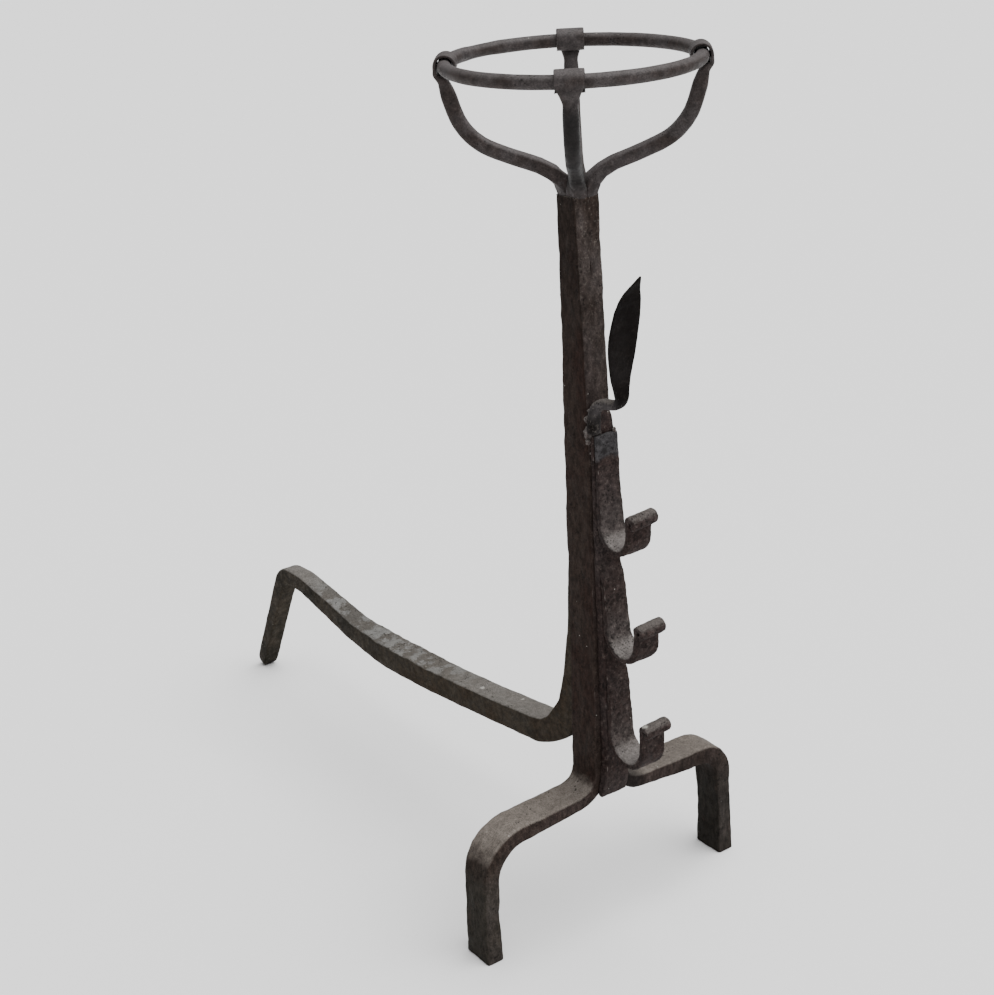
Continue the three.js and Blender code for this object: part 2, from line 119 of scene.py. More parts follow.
def corner_spots(
    points: list[Vector], i: int, bend: float, arc_step: float,
) -> list[tuple[Vector, float]]:
    """The path round one corner: a single point where it is sharp, or an arc.

    Args:
        points: the corners of the path, as (out, up).
        i: the corner's number.
        bend: the radius of the arc.
        arc_step: the largest turn between two points of the arc, in radians.

    Returns:
        Points, each with its place among the stations.
    """
    before = points[i] - points[i - 1]
    after = points[i + 1] - points[i]
    into = before.normalized()
    away = after.normalized()
    turn = math.atan2(into.x * away.y - into.y * away.x, into.dot(away))
    if bend == 0 or abs(turn) < 1e-3:
        return [(points[i].copy(), float(i))]
    reach = bend * math.tan(abs(turn) / 2)
    start = points[i] - into * reach
    side = math.copysign(1.0, turn)
    centre = start + Vector((-into.y, into.x)) * side * bend
    steps = max(2, math.ceil(abs(turn) / arc_step))
    spots = []
    for k in range(steps + 1):
        share = k / steps
        spoke = Matrix.Rotation(turn * share, 2) @ (start - centre)
        length = before.length if share < 0.5 else after.length
        spots.append((centre + spoke, i + (share - 0.5) * 2 * reach / length))
    return spots


def walk(stations: list[Station], spacing: float, arc_step: float) -> list[Section]:
    """Sections at even spacing along the stations' path, with its corners rounded.

    Args:
        stations: the bar's stations in order.
        spacing: the longest distance between two sections, in millimetres.
        arc_step: the largest turn between two sections of a bend, in radians.

    Returns:
        The sections, each with its slope from the upright.
    """
    points = [Vector((s.out, s.up)) for s in stations]
    last = len(points) - 1
    corners = [(points[0], 0.0)]
    for i in range(1, last):
        corners += corner_spots(points, i, stations[i].bend, arc_step)
    corners.append((points[last], float(last)))
    spots = [corners[0]]
    for (from_spot, from_place), (to_spot, to_place) in zip(corners, corners[1:]):
        length = (to_spot - from_spot).length
        if length < SAME_SPOT:
            continue
        cuts = max(1, math.ceil(length / spacing))
        for k in range(1, cuts + 1):
            share = k / cuts
            place = from_place + (to_place - from_place) * share
            spots.append((from_spot.lerp(to_spot, share), place))
    sections = []
    along = 0.0
    for k, (spot, place) in enumerate(spots):
        along += (spot - spots[k - 1][0]).length if k else 0.0
        sizes = {key: blend_between(stations, place, key) for key in ("thick", "wide", "shift", "twist")}
        end = {0: stations[0], len(spots) - 1: stations[last]}.get(k)
        sections.append(Section(along=along, spot=spot, level=bool(end and end.level), **sizes))
    for here, there in zip(sections, sections[1:]):
        step = there.spot - here.spot
        here.slope = math.atan2(step.x, step.y)
    sections[-1].slope = sections[-2].slope
    return sections


# ---------------------------------------------------------------- work in edit mode
def start_clean() -> None:
    """Leaves nothing selected, so that an operator acts on the new piece alone."""
    bpy.ops.object.select_all(action="DESELECT")


def take(*pieces: Piece) -> None:
    """Selects these pieces alone and makes the first one active.

    Args:
        pieces: the pieces.
    """
    start_clean()
    for piece in pieces:
        piece.select_set(True)
    bpy.context.view_layer.objects.active = pieces[0]


@contextmanager
def edit_mode(everything: bool = False) -> Iterator[None]:
    """Holds the active piece in edit mode.

    Args:
        everything: whether all of it is selected at the start.
    """
    bpy.ops.object.mode_set(mode="EDIT")
    if everything:
        bpy.ops.mesh.select_all(action="SELECT")
    yield
    bpy.ops.object.mode_set(mode="OBJECT")


def pick(piece: Piece, wanted: Callable[[bmesh.types.BMVert], bool]) -> int:
    """Selects vertices of the piece in edit mode.

    Args:
        piece: the object in edit mode.
        wanted: says for each vertex whether it is selected.

    Returns:
        How many were selected.
    """
    shell = bmesh.from_edit_mesh(piece.data)
    count = 0
    for vertex in shell.verts:
        vertex.select = wanted(vertex)
        count += vertex.select
    shell.select_flush_mode()
    bmesh.update_edit_mesh(piece.data, loop_triangles=False, destructive=False)
    return count


def turn_picked(angle: float, axis: str, centre: tuple[float, float, float], **reach: object) -> None:
    """Turns the selection by the right-hand rule; with no window the operator turns the other way."""
    bpy.ops.transform.rotate(value=-angle, orient_axis=axis, center_override=centre, **reach)


def nearest_upright(slope: float) -> float:
    """The slope, up or down, that makes a section level."""
    return round(slope / math.pi) * math.pi


def wrapped(angle: float) -> float:
    """The same turn between minus and plus half a turn."""
    return (angle + math.pi) % (2 * math.pi) - math.pi


@dataclass
class BarForge:
    """Draws out one bar from a plate, bends it and sets it in its place round the column."""

    name: str
    stations: list[Station]
    heading: float
    axis_y: float
    columns: int = 2
    rows: int = 5
    spacing: float = 9.0
    arc_step: float = math.radians(9)
    edge: float = 2.0
    edge_share: float = 0.42
    levels: int = 2
    soften: Callable[[Vector, bool, Section], float] | None = None
    sections: list[Section] = field(default_factory=list)

    def make(self) -> Piece:
        """Forges the bar.

        Returns:
            The finished bar, with its edges worn round and its surface smooth.
        """
        self.sections = walk(self.stations, self.spacing, self.arc_step)
        piece = self.draw_out()
        self.bend(piece, self.weigh_edges(piece))
        self.set_in_place()
        self.ease(piece)
        return piece

    def draw_out(self) -> Piece:
        """A straight bar up the Z axis, with the right section at every distance.

        Returns:
            The straight bar, in object mode.
        """
        start_clean()
        bpy.ops.mesh.primitive_grid_add(x_subdivisions=self.columns, y_subdivisions=self.rows, size=1)
        piece = named(bpy.context.object, self.name)
        first = self.sections[0]
        with edit_mode(everything=True):
            bpy.ops.transform.resize(value=(first.thick * MM, first.wide * MM, 1))
            turn_picked(math.radians(first.twist), "Z", (0, 0, 0))
            bpy.ops.transform.translate(value=(0, first.shift * MM, 0))
            for here, there in zip(self.sections, self.sections[1:]):
                centre = (0, there.shift * MM, there.along * MM)
                step = (0, (there.shift - here.shift) * MM, (there.along - here.along) * MM)
                growth = (there.thick / here.thick, there.wide / here.wide, 1)
                bpy.ops.mesh.extrude_region_move(TRANSFORM_OT_translate={"value": step})
                bpy.ops.transform.resize(value=growth, center_override=centre)
                if there.twist != here.twist:
                    turn_picked(math.radians(there.twist - here.twist), "Z", centre)
            bpy.ops.mesh.select_all(action="SELECT")
            bpy.ops.mesh.normals_make_consistent(inside=False)
        return piece

    def section_at(self, along: float) -> Section:
        """The section nearest to a distance along the bar, in millimetres."""
        return min(self.sections, key=lambda section: abs(section.along - along))

    def weigh_edges(self, piece: Piece) -> list[float]:
        """Marks the bar's sharp edges with how far each is worn.

        Args:
            piece: the straight bar.

        Returns:
            Each vertex's distance along the bar, in millimetres.
        """
        shell = bmesh.new()
        shell.from_mesh(piece.data)
        weights = shell.edges.layers.float.new("bevel_weight_edge")
        by_height = {}
        for edge in shell.edges:
            if len(edge.link_faces) != 2 or edge.calc_face_angle(0) < SHARP:
                continue
            one, other = edge.verts
            middle = (one.co + other.co) / 2 / MM
            section = by_height.setdefault(round(middle.z, 1), self.section_at(middle.z))
            room = self.edge_share * min(section.thick, section.wide)
            worn = min(1.0, room / self.edge)
            if self.soften:
                lengthwise = abs(one.co.z - other.co.z) > SLACK * MM
                worn *= self.soften(middle, lengthwise, section)
            edge[weights] = worn
        shell.to_mesh(piece.data)
        shell.free()
        return [vertex.co.z / MM for vertex in piece.data.vertices]

    def bend(self, piece: Piece, alongs: list[float]) -> None:
        """Bends the bar from its far end back, so that each bend's centre is still on the Z axis.

        Args:
            piece: the straight bar.
            alongs: each vertex's distance along the bar.
        """
        first, last = self.sections[0], self.sections[-1]
        with edit_mode():
            for end, side in ((last, 1), (first, -1)):
                if end.level:
                    pick(piece, lambda v, end=end, side=side: side * (alongs[v.index] - end.along) > -SLACK)
                    turn_picked(nearest_upright(end.slope) - end.slope, "Y", (0, 0, end.along * MM))
            for before, here in reversed(list(zip(self.sections, self.sections[1:-1]))):
                turn = wrapped(here.slope - before.slope)
                if abs(turn) < NO_TURN:
                    continue
                for least in (here.along - SLACK, here.along + SLACK):
                    pick(piece, lambda v, least=least: alongs[v.index] > least)
                    turn_picked(turn / 2, "Y", (0, 0, here.along * MM))

    def set_in_place(self) -> None:
        """Tips the bent bar to its first slope, moves it to its first place and turns it to its heading."""
        first = self.sections[0]
        with edit_mode(everything=True):
            turn_picked(first.slope, "Y", (0, 0, 0))
            bpy.ops.transform.translate(value=(first.spot.x * MM, 0, first.spot.y * MM))
            turn_picked(self.heading, "Z", (0, 0, 0))
            bpy.ops.transform.translate(value=(0, self.axis_y, 0))

    def ease(self, piece: Piece) -> None:
        """Wears the marked edges round and refines the skin.

        Args:
            piece: the bent bar.
        """
        worn = piece.modifiers.new("worn edges", "BEVEL")
        worn.limit_method = "WEIGHT"
        worn.width = self.edge * MM
        worn.segments = EDGE_SEGMENTS
        worn.use_clamp_overlap = False
        refine(piece, self.levels)
        apply_all(piece)


def named(piece: Piece, name: str) -> Piece:
    """The piece, with its name also on its mesh."""
    piece.name = piece.data.name = name
    return piece


def refine(piece: Piece, levels: int) -> None:
    """Adds a finer skin, the same in the window and in a render."""
    finer = piece.modifiers.new("finer skin", "SUBSURF")
    finer.levels = finer.render_levels = levels


def apply_all(piece: Piece) -> None:
    """Applies every modifier of the piece, first to last."""
    take(piece)
    for modifier in list(piece.modifiers):
        bpy.ops.object.modifier_apply(modifier=modifier.name)


class Blow(Enum):
    """Kinds of unevenness that the smith's work and the years left on the iron."""

    SWELL = "slow swelling of a bar drawn out by hand"
    DENT = "shallow facets left by the hammer"
    PIT = "fine scale and rust pits"

    @property
    def rest(self) -> float:
        """The relief's own middle, where the skin stays in place: cells lie lower than clouds."""
        return 0.36 if self is Blow.DENT else 0.5

    def texture(self, size: float) -> bpy.types.Texture:
        """The procedural relief that pushes the skin in and out.

        Args:
            size: how wide its marks are, in millimetres.

        Returns:
            The texture.
        """
        relief = bpy.data.textures.new(self.name.lower(), "CLOUDS")
        relief.noise_scale = size * MM
        relief.noise_depth = {Blow.SWELL: 1, Blow.DENT: 0, Blow.PIT: 2}[self]
        if self is Blow.DENT:
            relief.noise_basis = "VORONOI_F1"
        return relief


def roughen(
    piece: Piece, marks: dict[Blow, tuple[float, float]], masks: dict[Blow, str] | None = None,
) -> None:
    """Pushes the skin in and out along its normals, and applies it.

    Args:
        piece: the smooth piece.
        marks: how wide and how deep each kind of unevenness is, in millimetres.
        masks: for some of them, the vertex group that says where and how strongly.
    """
    for blow, (size, depth) in marks.items():
        relief = piece.modifiers.new(blow.name.lower(), "DISPLACE")
        relief.texture = blow.texture(size)
        relief.texture_coords = "LOCAL"
        relief.strength = depth * MM
        relief.mid_level = blow.rest
        if masks and blow in masks:
            relief.vertex_group = masks[blow]
    apply_all(piece)


def stand_flat(piece: Piece) -> None:
    """Presses what reaches below the floor up to it, so that a sole stands flat.

    Args:
        piece: the piece with the sole.
    """
    take(piece)
    with edit_mode():
        if pick(piece, lambda v: v.co.z < 0):
            bpy.ops.transform.resize(value=(1, 1, 0), center_override=(0, 0, 0))


def smooth_step(low: float, high: float, value: float) -> float:
    """0 below low and 1 above high, with an even ease between; low may be above high."""
    share = min(max((value - low) / (high - low), 0.0), 1.0)
    return share * share * (3 - 2 * share)


def store_shares(piece: Piece, **kinds: Share) -> None:
    """Stores how strongly each kind of wear, painted light and painted shade shows at each vertex, from 0
    to 1.

    Args:
        piece: the finished piece.
        kinds: for each attribute, its share from a vertex's place, in millimetres, and its normal.
    """
    for name, share in kinds.items():
        layer = piece.data.attributes.new(name, "FLOAT", "POINT")
        values = [share(vertex.co / MM, vertex.normal) for vertex in piece.data.vertices]
        layer.data.foreach_set("value", values)


# ---------------------------------------------------------------- finishes
class NodeBench:
    """Adds and links nodes of one material with few words."""

    def __init__(self, name: str, ground: Colour) -> None:
        """Starts a material.

        Args:
            name: the material's name.
            ground: its first colour.
        """
        self.material = bpy.data.materials.new(name)
        self.material.use_nodes = True
        self.tree = self.material.node_tree
        self.shader = self.tree.nodes["Principled BSDF"]
        self.place = self.add("ShaderNodeTexCoord", {}).outputs["Object"]
        self.colour = ground

    def feed(self, node: bpy.types.Node, inputs: dict[str | int, object]) -> bpy.types.Node:
        """Links outputs to a node's inputs, or sets them to plain values.

        Args:
            node: the node.
            inputs: what goes in, by the input's name or number.

        Returns:
            The node.
        """
        for key, source in inputs.items():
            if isinstance(source, Socket):
                self.tree.links.new(source, node.inputs[key])
            else:
                node.inputs[key].default_value = source
        return node

    def add(self, kind: str, inputs: dict[str | int, object], **settings: object) -> bpy.types.Node:
        """A new node.

        Args:
            kind: its type.
            inputs: what goes in.
            settings: its properties.

        Returns:
            The node.
        """
        node = self.tree.nodes.new(kind)
        for key, value in settings.items():
            setattr(node, key, value)
        return self.feed(node, inputs)

    def stretched(self, stretch: Colour) -> Socket:
        """Object coordinates multiplied on each axis, for a grain that runs one way."""
        return self.add("ShaderNodeMapping", {"Vector": self.place, "Scale": stretch}).outputs["Vector"]

    def cloud(self, size: float, detail: float, rough: float = 0.6, at: object = None) -> Socket:
        """Noise with features of about this many millimetres."""
        inputs = {"Vector": at or self.place, "Scale": 1 / (size * MM)}
        inputs |= {"Detail": detail, "Roughness": rough}
        return self.add("ShaderNodeTexNoise", inputs).outputs["Fac"]

    def cells(self, size: float) -> bpy.types.Node:
        """Scattered cells of about this many millimetres."""
        return self.add("ShaderNodeTexVoronoi", {"Vector": self.place, "Scale": 1 / (size * MM)})

    def ramp(self, value: object, low: float, high: float, bottom: float = 0, top: float = 1) -> Socket:
        """Value eased from bottom at low to top at high."""
        inputs = {"Value": value, "From Min": low, "From Max": high, "To Min": bottom, "To Max": top}
        return self.add("ShaderNodeMapRange", inputs, interpolation_type="SMOOTHSTEP").outputs["Result"]

    def sum(self, kind: str, first: object, second: object) -> Socket:
        """One step of arithmetic."""
        return self.add("ShaderNodeMath", {0: first, 1: second}, operation=kind).outputs[0]

    def times(self, first: object, second: object) -> Socket:
        """Two numbers multiplied."""
        return self.sum("MULTIPLY", first, second)

    def mix(self, share: object, first: object, second: object) -> Socket:
        """Two colours mixed by a share."""
        first, second = ((*c, 1.0) if isinstance(c, tuple) else c for c in (first, second))
        inputs = {"Factor": share, 6: first, 7: second}
        return self.add("ShaderNodeMix", inputs, data_type="RGBA", blend_type="MIX").outputs[2]

    def paint(self, share: object, tone: object) -> None:
        """Covers the colour so far with a tone, by a share."""
        self.colour = self.mix(share, self.colour, tone)

    def stored_share(self, name: str) -> Socket:
        """A piece's own stored share of wear, painted light and painted shade."""
        return self.add("ShaderNodeAttribute", {}, attribute_name=name).outputs["Fac"]


@dataclass(frozen=True)
class IronFinish:
    """Weathered wrought iron: a dark oxide skin, drifts of a second tone, peeled scale, dust partly painted
    as top light, pits, and painted shade in creases.
    """

    name: str
    ground: Colour
    drift: Colour
    scale: Colour
    # Dust tone of top faces and scuffs, partly painted light on the tops.
    dust_and_top_light: Colour = (0.150, 0.134, 0.120)
    # Tone of rubbed wear and worn edges, also the painted highlight on the weld beads.
    rubbed: Colour = (0.128, 0.117, 0.110)
    # Pale tone of weathered patches; on the column's front faces and the leaf's stem partly painted light.
    weather: Colour = (0.050, 0.041, 0.040)
    flake: Colour = (0.17, 0.17, 0.165)
    weld: Colour = (0.034, 0.037, 0.045)
    aged: Colour = (0.0245, 0.0226, 0.0186)
    # Tone of the painted shade in concave creases.
    hollow: Colour = (0.004, 0.0035, 0.003)
    pit: Colour = (0.006, 0.005, 0.0045)
    # Tone of the darkest marks: painted shade on the column, a dark spot in the top weld, the darker front
    # arm.
    soot: Colour = (0.005, 0.0045, 0.0045)
    lime: Colour = (0.30, 0.29, 0.265)
    drift_size: float = 42.0
    stretch: Colour = (1.0, 1.0, 1.0)
    scale_size: float = 9.0
    scale_share: float = 0.35
    dust_and_top_light_share: float = 0.8
    scuff_share: float = 0.4
    edge_share: float = 0.34
    pit_size: float = 3.4
    pit_share: float = 0.5
    speck_size: float = 2.6
    speck_share: float = 0.006
    mottle: float = 0.34
    mottle_size: float = 6.0
    roughness: float = 0.70
    gloss: float = 0.1
    relief: float = 0.6
    relief_deep: float = 1.2
    facing_up: tuple[float, float] = (0.2, 0.85)

    def material(self) -> bpy.types.Material:
        """Builds the finish from procedural nodes.

        Returns:
            The material, which reads object coordinates and the pieces' stored wear, painted light and
            painted shade.
        """
        bench = NodeBench(self.name, self.ground)
        ramp, times, paint, stored_share = bench.ramp, bench.times, bench.paint, bench.stored_share
        grain = bench.stretched(self.stretch)
        drifts = bench.cloud(self.drift_size, 3.0, 0.55, grain)
        scaling = bench.cloud(self.scale_size, 7.0, 0.68, grain)
        powder = bench.cloud(1.3, 3.0, 0.7)
        paint(ramp(drifts, 0.40, 0.62), self.drift)
        paint(stored_share("aged"), self.aged)
        peeled = ramp(scaling, 0.66 - 0.3 * self.scale_share, 0.76 - 0.3 * self.scale_share)
        paint(times(peeled, 0.75), self.scale)
        scuffs = ramp(bench.cloud(2.8, 9.0, 0.8), 0.52, 0.64)
        # Weathered patches and scuffs; on the column's front faces and the leaf's stem partly painted
        # light.
        weathered = stored_share("weathered")
        patchy = times(weathered, ramp(scaling, 0.3, 0.6, 0.6, 1.0))
        paint(patchy, bench.mix(ramp(drifts, 0.35, 0.65), self.weather, self.drift))
        paint(times(times(weathered, scuffs), self.scuff_share), self.dust_and_top_light)
        normal = bench.add("ShaderNodeNewGeometry", {}).outputs
        upward = bench.add("ShaderNodeSeparateXYZ", {0: normal["Normal"]}).outputs["Z"]
        # Dust settled on faces that look up, partly painted light from above.
        dust_and_top_lit = times(ramp(upward, *self.facing_up), ramp(scaling, 0.25, 0.6, 0.6, 1.0))
        bare = times(stored_share("flaked"), 0.35)
        paint(times(dust_and_top_lit, bench.sum("SUBTRACT", self.dust_and_top_light_share, bare)), self.dust_and_top_light)
        flaking = ramp(bench.cloud(22.0, 8.0, 0.7), 0.48, 0.56, 0.0, 0.52)
        flaked = times(stored_share("flaked"), flaking)
        paint(flaked, self.flake)
        # Rubbed wear, and the painted highlight on the weld beads.
        paint(times(stored_share("rubbed"), ramp(scaling, 0.3, 0.6, 0.65, 1.0)), self.rubbed)
        paint(stored_share("welded"), self.weld)
        paint(ramp(normal["Pointiness"], 0.515, 0.58, 0.0, self.edge_share), self.rubbed)
        # Painted shade in the concave creases.
        paint(ramp(normal["Pointiness"], 0.49, 0.43, 0.0, 0.8), self.hollow)
        cells = bench.cells(self.pit_size).outputs
        pocked = bench.cloud(self.pit_size * 5, 2.0)
        reach = ramp(pocked, 0.58 - 0.3 * self.pit_share, 0.72, 0.0, 0.34)
        pits = bench.sum("LESS_THAN", cells["Distance"], reach)
        paint(times(pits, 0.65), self.pit)
        # Darkest marks: painted shade on the column, a dark spot in the top weld, the darker front arm.
        paint(stored_share("soot"), self.soot)
        self.specks(bench)
        fine = ramp(powder, 0.25, 0.75, 0.65, 1.35)
        mottling = bench.cloud(self.mottle_size, 5.0, 0.65, grain)
        blotch = ramp(mottling, 0.3, 0.7, -self.mottle, self.mottle)
        calm = ramp(upward, *self.facing_up, 1.0, 0.3)
        shade = times(fine, bench.sum("ADD", times(blotch, calm), 1.0))
        bright = bench.add("ShaderNodeVectorMath", {0: bench.colour, "Scale": shade}, operation="SCALE")
        matt = ramp(scaling, 0.3, 0.7, self.roughness - 0.12, self.roughness + 0.14)
        layers = (("ADD", powder, 0.35), ("SUBTRACT", pits, 0.5), ("ADD", flaked, 0.45))
        bench.feed(bench.shader, {
            "Base Color": bright.outputs[0],
            "Roughness": bench.sum("SUBTRACT", matt, times(stored_share("rubbed"), 0.2)),
            "Metallic": 0.0,
            "Specular IOR Level": self.gloss,
            "Normal": self.bump(bench, scaling, layers),
        })
        return bench.material

    def specks(self, bench: NodeBench) -> None:
        """Scatters small pale specks of ash and lime.

        Args:
            bench: the material's nodes.
        """
        cells = bench.cells(self.speck_size).outputs
        tint = bench.add("ShaderNodeSeparateColor", {0: cells["Color"]})
        few = bench.sum("LESS_THAN", tint.outputs["Red"], self.speck_share)
        small = bench.sum("LESS_THAN", cells["Distance"], 0.2)
        bench.paint(bench.sum("MAXIMUM", bench.times(few, small), bench.stored_share("lime")), self.lime)

    def bump(
        self, bench: NodeBench, height: object, layers: tuple[tuple[str, object, float], ...],
    ) -> Socket:
        """Adds the relief that is too fine for the mesh.

        Args:
            bench: the material's nodes.
            height: the lowest layer.
            layers: how each other layer joins it, the layer and its share.

        Returns:
            The turned normal.
        """
        for kind, layer, share in layers:
            height = bench.sum(kind, height, bench.times(layer, share))
        inputs = {"Strength": self.relief, "Distance": self.relief_deep * MM, "Height": height}
        return bench.add("ShaderNodeBump", inputs).outputs[0]


# The column's pale weather tone is partly painted light on its front faces.
COLUMN_IRON = IronFinish(
    "column iron", (0.0200, 0.0116, 0.0092), (0.0245, 0.0172, 0.0142), (0.038, 0.0285, 0.0240),
    dust_and_top_light=(0.180, 0.159, 0.140), weather=(0.066, 0.0555, 0.0530), stretch=(1.0, 1.0, 0.5),
    scale_share=0.28, edge_share=0.14, scuff_share=0.32, mottle=0.4, mottle_size=4.0, speck_share=0.004,
    pit_share=0.65, gloss=0.04,
)
FRONT_IRON = IronFinish(
    "front iron", (0.0230, 0.0148, 0.0132), (0.0300, 0.0222, 0.0210), (0.056, 0.0440, 0.0400),
    dust_and_top_light=(0.120, 0.110, 0.101), rubbed=(0.175, 0.160, 0.152), weather=(0.026, 0.020, 0.020),
    weld=(0.041, 0.0395, 0.0415), dust_and_top_light_share=0.45, scale_size=5.0, scale_share=0.42, pit_size=2.8,
    pit_share=0.95, relief=1.0, mottle=0.5, mottle_size=4.5, gloss=0.06,
)
BAR_IRON = IronFinish(
    "log bar iron", (0.0270, 0.0190, 0.0120), (0.0300, 0.0240, 0.0175), (0.033, 0.029, 0.024),
    dust_and_top_light=(0.145, 0.136, 0.126), weather=(0.0098, 0.0098, 0.0072), flake=(0.185, 0.185, 0.180),
    scale_share=0.4, scuff_share=0.2, speck_share=0.010, mottle=0.38, gloss=0.05,
)
RING_IRON = IronFinish(
    "basket iron", (0.0285, 0.0218, 0.0200), (0.041, 0.0350, 0.0345), (0.046, 0.039, 0.037),
    dust_and_top_light=(0.108, 0.099, 0.099), weather=(0.0210, 0.0150, 0.0141), drift_size=26.0, dust_and_top_light_share=0.5,
    scale_share=0.25, pit_share=0.3, relief=0.4, roughness=0.55, gloss=0.12, edge_share=0.2,
)
# Its pale weather tone paints the stem, partly a painted sheen.
LEAF_IRON = IronFinish(
    "leaf iron", (0.0030, 0.0019, 0.0017), (0.0050, 0.0036, 0.0031), (0.0110, 0.0088, 0.0076),
    weather=(0.085, 0.077, 0.078), dust_and_top_light_share=0.6, scale_share=0.25, pit_share=0.4, relief=0.5,
    edge_share=0.2, mottle=0.2, gloss=0.06,
)


@dataclass
class SubAssembly:
    """What every part of the andiron shares: the column's axis, and how a piece is made, finished and
    attached to its body.
    """

    axis_y: float

    @property
    def axis(self) -> float:
        """The column's place along Y, in millimetres."""
        return self.axis_y / MM

    def forge(self, name: str, stations: list[Station], heading: float, **sizes: object) -> Piece:
        """Forges one bar of the part, from its stations, with the forge's other sizes where they differ."""
        return BarForge(name, stations, heading, self.axis_y, **sizes).make()

    def hand_over(
        self, piece: Piece, finish: IronFinish, slot: str, node: str = "", body: str = "frame",
    ) -> None:
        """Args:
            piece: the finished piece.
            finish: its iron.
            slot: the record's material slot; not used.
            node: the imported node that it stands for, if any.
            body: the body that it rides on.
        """
        piece.data.materials.clear()
        piece.data.materials.append(bpy.data.materials.get(finish.name) or finish.material())
        take(piece)
        bpy.ops.object.shade_smooth()
        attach(piece, body)
        if node:
            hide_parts(node)
        LOG.info("%s: %d faces", piece.name, len(piece.data.polygons))


# ---------------------------------------------------------------- column and front feet
@dataclass
class Column(SubAssembly):
    """Two bars forged back to back, parted below into the front feet."""

    gap: float = 0.3
    weld_lap: float = 0.2
    fullness: tuple[float, float] = (1.0, 0.8)
    head_z: float = 690.0
    head_side: float = 24.8
    waist_z: float = 560.0
    waist_wide: float = 23.2
    taper_z: float = 485.0
    taper_wide: float = 24.6
    shaft_z: float = 290.0
    shaft_wide: float = 28.4
    spread_z: float = 200.0
    spread_wide: float = 33.4
    crotch_z: float = 166.0
    crotch_wide: float = 36.4
    deep: float = 35.0
    set_back: float = -1.1
    foot_reach: float = 151.6
    bar_top_z: tuple[float, float] = (130.2, 127.6)
    bar_thick: tuple[float, float] = (17.4, 18.7)
    crotch_out: float = 12.4
    crotch_thick: float = 10.8
    crotch_bend: float = 28.0
    neck_out: float = 50.0
    neck_thick: float = 13.9
    belly_out: float = 90.0
    belly_thick: tuple[float, float] = (15.6, 17.0)
    shoulder_bend: tuple[float, float] = (39.0, 28.0)
    calf_z: float = 48.3
    calf_lean: tuple[float, float] = (0.3, 0.0)
    leg_thick: float = 15.8
    leg_deep: float = 33.6
    leg_lean: float = 3.2
    sole_thick: float = 18.0

    def taper(self, z: float) -> float:
        """0 where the column keeps its full depth, 1 at its head."""
        return min(max((z - self.taper_z) / (self.head_z - self.taper_z), 0.0), 1.0)

    def depth_at(self, z: float) -> float:
        """Depth of the column at a height."""
        return self.deep + (self.head_side - self.deep) * self.taper(z)

    def set_at(self, z: float) -> float:
        """How far the column's middle stands back from its axis at a height."""
        return self.set_back * (1 - self.taper(z))

    def front_at(self, z: float) -> float:
        """Distance forward from the axis to the column's front face."""
        return self.depth_at(z) / 2 - self.set_at(z)

    def rear_at(self, z: float) -> float:
        """Distance back from the axis to the column's rear face."""
        return self.depth_at(z) / 2 + self.set_at(z)

    def half(self, z: float, wide: float, side: int, level: bool = False) -> Station:
        """A station of one bar: half of the column's width, and a little into the other bar's weld."""
        inner, outer = -self.weld_lap, wide / 2 + self.fullness[(side + 1) // 2]
        middle, thick, shift = (inner + outer) / 2, outer - inner, side * self.set_at(z)
        return Station(middle, z, thick, self.depth_at(z), shift=shift, level=level)

    def foot(self, out: float, top: float, thick: float, shift: float, bend: float = 0.0) -> Station:
        """A station of a foot's level part, given by its top face."""
        return Station(out, top - thick / 2, thick, self.deep, bend=bend, shift=shift)

    def stations(self, side: int) -> list[Station]:
        """One bar from the column's head to its sole.

        Args:
            side: 1 for the right bar, -1 for the left.

        Returns:
            The bar's stations.
        """
        sole = self.foot_reach - self.sole_thick / 2
        shift = side * self.set_back
        which = (side + 1) // 2
        top = self.bar_top_z[which]
        return [
            self.half(self.head_z, self.head_side, side, level=True),
            self.half(self.waist_z, self.waist_wide, side),
            self.half(self.taper_z, self.taper_wide, side),
            self.half(self.shaft_z, self.shaft_wide, side),
            self.half(self.spread_z, self.spread_wide, side),
            self.half(self.crotch_z, self.crotch_wide, side),
            self.foot(self.crotch_out, top + 3, self.crotch_thick + 2, shift, self.crotch_bend),
            self.foot(self.neck_out, top + 1.8, self.neck_thick, shift),
            self.foot(self.belly_out, top, self.belly_thick[which], shift),
            self.foot(sole - self.leg_lean, top, self.bar_thick[which], shift, self.shoulder_bend[which]),
            Station(sole - self.calf_lean[which], self.calf_z, self.leg_thick, self.leg_deep, shift=shift),
            Station(sole, 0.0, self.sole_thick, self.deep, shift=shift, level=True),
        ]

    def make_bar(self, name: str, side: int) -> Piece:
        """Forges one bar with its foot.

        Args:
            name: the piece's name.
            side: 1 for the right bar, -1 for the left.

        Returns:
            The bar.
        """
        parting = self.head_z - self.spread_z

        def soften(middle: Vector, lengthwise: bool, section: Section) -> float:
            """The weld, on the straight bar's +X side, and the head stay sharp, and the sole nearly so."""
            welded = section.along < parting and middle.x > 0
            at_head = section.along < 1 and not lengthwise
            if welded or at_head:
                return 0.04
            if section.level and not lengthwise:
                return 0.55
            return 0.7 + 0.3 * smooth_step(parting, parting + 120, section.along)

        heading = 0.0 if side > 0 else math.pi
        piece = self.forge(name, self.stations(side), heading, edge=3.0, soften=soften)
        roughen(piece, {Blow.SWELL: (38.0, 0.9), Blow.DENT: (14.0, 1.1), Blow.PIT: (3.2, 0.34)})
        stand_flat(piece)
        return piece

    def build(self) -> None:
        """Forges, dresses and hands over both bars."""
        for name, side in (("left_column_bar", -1), ("right_column_bar", 1)):
            piece = self.make_bar(name, side)
